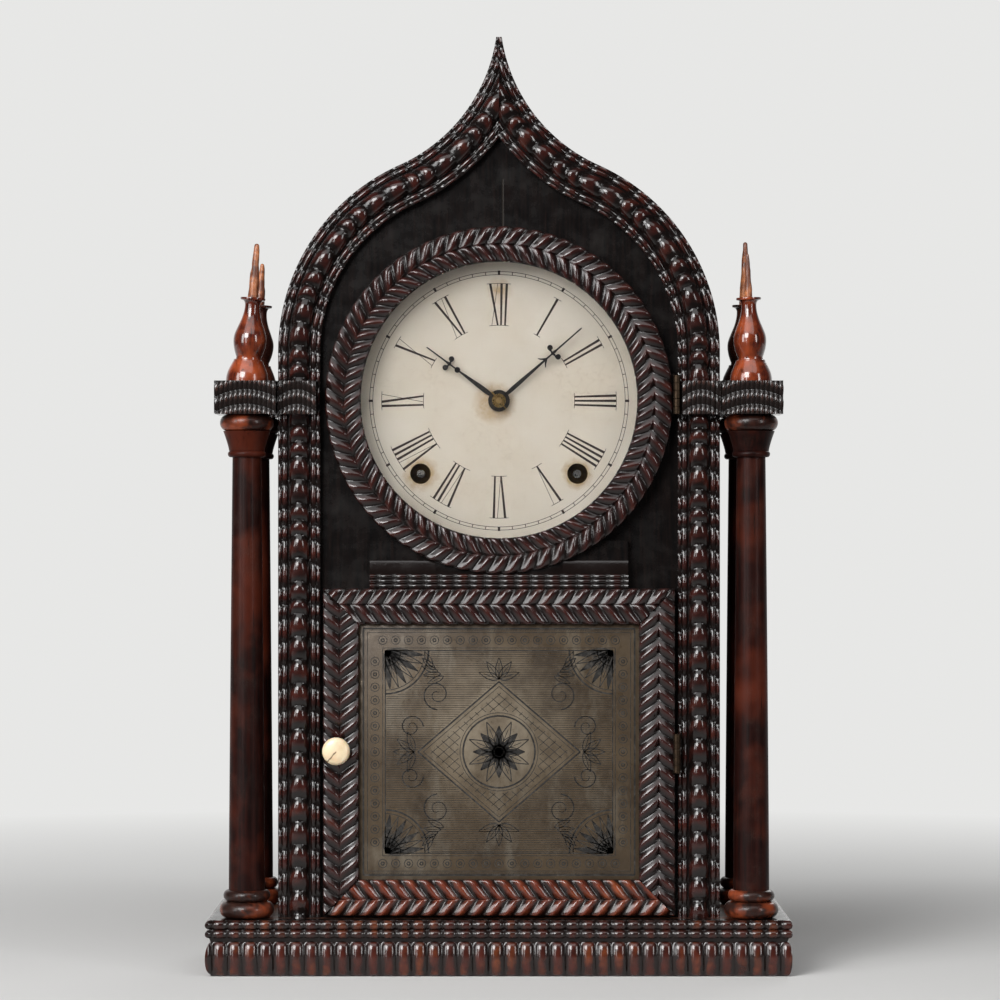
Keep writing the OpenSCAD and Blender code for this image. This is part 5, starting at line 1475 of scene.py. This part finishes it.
# %% Bent roof boards
ROOF_FROM, ROOF_TO = 0.1, 7.1
for side, label in ((-1, "left"), (1, "right")):
    s = np.linspace(UPRIGHT_L + 0.01, ARCH_L, 90)
    corners = []
    for u, y in ((ROOF_FROM, CASE_Y), (ROOF_FROM, BACK_Y), (ROOF_TO, BACK_Y), (ROOF_TO, CASE_Y)):
        x, z = arch_path(s, u + 0 * s)
        corners.append(np.stack([side * x, y + 0 * s, z], axis=-1))
    rows = np.stack(corners, axis=1)
    board = skin(f"roof_board_{label}", rows, np.zeros(rows.shape[:2]))
    saw(board, (0, 0, 0), (-side, 0, 0))
    finish_piece(board, "root", VENEER, ["roof_shells"] if side > 0 else (), smooth=30)

# %% [markdown]
# ## Finishes on the CAD's own solids
# Boards, hinges and the whole movement keep their CAD solids, which are right as they are, and
# only get their finishes. Each solid is asked for by its name.

# %% Assign finishes to CAD nodes
FINISHES = [
    (CORE_WOOD, "plinth_rosewood", ["base_core"]),
    (VENEER, "veneer", ["case_left_side", "case_right_side"]),
    (PINE, "pine", ["back_board", "dial_rails"]),
    (BLACK, "black_board", ["front_board"]),
    (BLACK, "rosewood", ["door_board"]),
    (DIAL_PAINT, "dial_paint", ["dial_plate"]),
    (HINGE_BRASS, "hinge_brass", ["case_hinge_leaves", "door_hinge_leaves", "hinge_pins",
                                  "latch_tongue"]),
    (COLLET_BRASS, "collet_brass", ["hand_collet"]),
    (STEEL, "steel", ["mainsprings", "time_winding_arbor", "strike_winding_arbor", "verge",
                      "pendulum_rod", "hammer"]),
    # The front plate takes the darker brass, painted shade for its place behind the dial.
    (SHADED_FRONT_PLATE_BRASS, "movement_brass", ["front_plate"]),
    (MOVEMENT_BRASS, "movement_brass",
     ["back_plate", "plate_pillars", "suspension_cock", "centre_arbor",
      "hour_wheel", "minute_wheel", "time_main_wheel", "second_wheel", "third_wheel",
      "escape_wheel", "pendulum_bob", "strike_main_wheel", "strike_second_wheel", "fly"]),
    (BLUED, "blued_steel", ["gong_coil"]),
    (GONG_IRON, "gong_iron", ["gong_stand"]),
]
for finish, slot, names in FINISHES:
    for name in names:
        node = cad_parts[name]
        node.data.materials.clear()
        node.data.materials.append(finish)
print("CAD solids finished:", sum(len(names) for _, _, names in FINISHES))

# %% [markdown]
# ## Room, lights and camera
# The clock stands on a pale floor. The dark polish of the case is like a mirror and shows the room,
# so the room is pale behind the clock and dark in front, as when black cloth hangs beside the
# camera. The floor follows this: pale near and behind the clock, dark further in front. The glow
# of the backdrop is shown only to the camera, through glass and in reflections, so it adds no
# other light.

# %% A flat floor
FLOOR_SIDE, FLOOR_DROP = 9, 0.0004
BACKDROP = (0.80, 0.80, 0.79, 1)
deselect()
bpy.ops.mesh.primitive_plane_add(size=1, location=(0, 0, -FLOOR_DROP))
floor = bpy.context.object
floor.name = "studio_floor"
floor.scale = (FLOOR_SIDE, FLOOR_SIDE, 1)
bpy.ops.object.transform_apply(location=True, rotation=True, scale=True)
print("floor:", FLOOR_SIDE, "m square")

# %% The floor's finish, pale behind and dark in front
def seen_ray(tree):
    """1 for rays that show the background: from the camera, in reflections and through glass."""
    rays = add(tree, "ShaderNodeLightPath")
    shown = math_node(tree, "MAXIMUM", rays.outputs["Is Camera Ray"],
                      rays.outputs["Is Transmission Ray"])
    return math_node(tree, "MAXIMUM", shown, rays.outputs["Is Glossy Ray"])


def behind(tree, direction):
    """1 where a direction points to the pale half of the room, 0 towards its dark half."""
    return fade(tree, add(tree, "ShaderNodeSeparateXYZ", {"Vector": direction}).outputs["Y"],
                0.35, 0.85)


PALE, tree, shader = material("pale_floor", roughness=0.85, specular_ior_level=0.2)
where = coordinates(tree)
away = add(tree, "ShaderNodeVectorMath", {0: where}, operation="LENGTH").outputs["Value"]
along = add(tree, "ShaderNodeSeparateXYZ", {"Vector": where}).outputs["Y"]
gloom = fade(tree, along, -0.17, -0.4)
feed(tree, shader, base_color=mixed(tree, gloom, (0.62, 0.615, 0.605), (0.03, 0.03, 0.032)))
share = math_node(tree, "MULTIPLY", fade(tree, away, 0.25, 1.1), fade(tree, along, 0.0, 0.5))
share = math_node(tree, "MULTIPLY", share, seen_ray(tree))
glow = add(tree, "ShaderNodeEmission", {"Color": BACKDROP, "Strength": 1.0})
blend = add(tree, "ShaderNodeMixShader", {0: share, 1: shader.outputs[0], 2: glow.outputs[0]})
surface = next(n for n in tree.nodes if n.type == "OUTPUT_MATERIAL")
tree.links.new(blend.outputs[0], surface.inputs["Surface"])
floor.data.materials.append(PALE)
print("floor finish:", len(tree.nodes), "nodes")

# %% The world, pale behind and dark in front
world = bpy.data.worlds.new("studio")
bpy.context.scene.world = world
world.use_nodes = True
tree = world.node_tree
tree.nodes.clear()
dim = add(tree, "ShaderNodeBackground", {"Color": (0.9, 0.93, 1, 1), "Strength": 0.04})
pale = add(tree, "ShaderNodeBackground", {"Color": BACKDROP, "Strength": 1.0})
direction = add(tree, "ShaderNodeTexCoord").outputs["Generated"]
share = math_node(tree, "MULTIPLY", seen_ray(tree), behind(tree, direction))
blend = add(tree, "ShaderNodeMixShader", {0: share, 1: dim.outputs[0], 2: pale.outputs[0]})
add(tree, "ShaderNodeOutputWorld", {"Surface": blend.outputs[0]})
print("world:", len(tree.nodes), "nodes")

# %% [markdown]
# Soft boxes are what dark, glossy wood is photographed with, because their edges draw each wave. A
# wide one from high in front lights all and a smaller key one models the case. A tall box and a
# narrow strip at the left and a slim box at the right give the pairs of upright glints on turned
# wood, and one behind lifts the back and the roof.

# %% Lights
MIDDLE_UP = 0.25


def soft_box(name, place, aim_up, width, height, watts):
    """A rectangular lamp at place in metres, aimed at the clock at height aim_up."""
    lamp = bpy.data.lights.new(name, "AREA")
    lamp.shape, lamp.size, lamp.size_y, lamp.energy = "RECTANGLE", width, height, watts
    box = bpy.data.objects.new(name, lamp)
    bpy.context.scene.collection.objects.link(box)
    box.location = place
    aim = Vector((0, 0, aim_up)) - Vector(place)
    box.rotation_euler = aim.to_track_quat("-Z", "Y").to_euler()


soft_box("high_box", (-0.2, -1.5, 2.1), MIDDLE_UP, 3.0, 1.3, 25)
soft_box("key_box", (-0.95, -1.95, 1.3), MIDDLE_UP, 1.0, 0.9, 50)
soft_box("left_box", (-1.65, -1.4, 0.75), MIDDLE_UP, 0.55, 1.3, 19)
soft_box("strip_box", (-0.95, -1.95, 0.55), MIDDLE_UP, 0.16, 1.1, 7)
soft_box("right_box", (1.45, -1.5, 0.7), MIDDLE_UP, 0.3, 1.1, 11)
soft_box("back_box", (0.9, 2.2, 1.5), 0.2, 1.2, 1.0, 12)
print("soft boxes:", len(bpy.data.lights))

# %% [markdown]
# The camera looks straight at the front from two metres, with a long lens. It stays level and is
# shifted up instead of tilted, so that the columns stay upright and side by side.

# %% Camera at the photograph's place
camera = bpy.data.cameras.new("camera")
camera.sensor_width, camera.lens = 36.0, 133.0
camera.shift_x, camera.shift_y = 0.001, 0.0182
holder = bpy.data.objects.new("camera", camera)
bpy.context.scene.collection.objects.link(holder)
holder.location = (0.0, -2.048, 0.2467)
holder.rotation_euler = (math.pi / 2, 0, 0)
bpy.context.scene.camera = holder
bpy.context.scene.view_settings.view_transform = "Standard"
print("camera", tuple(round(v, 3) for v in holder.location))
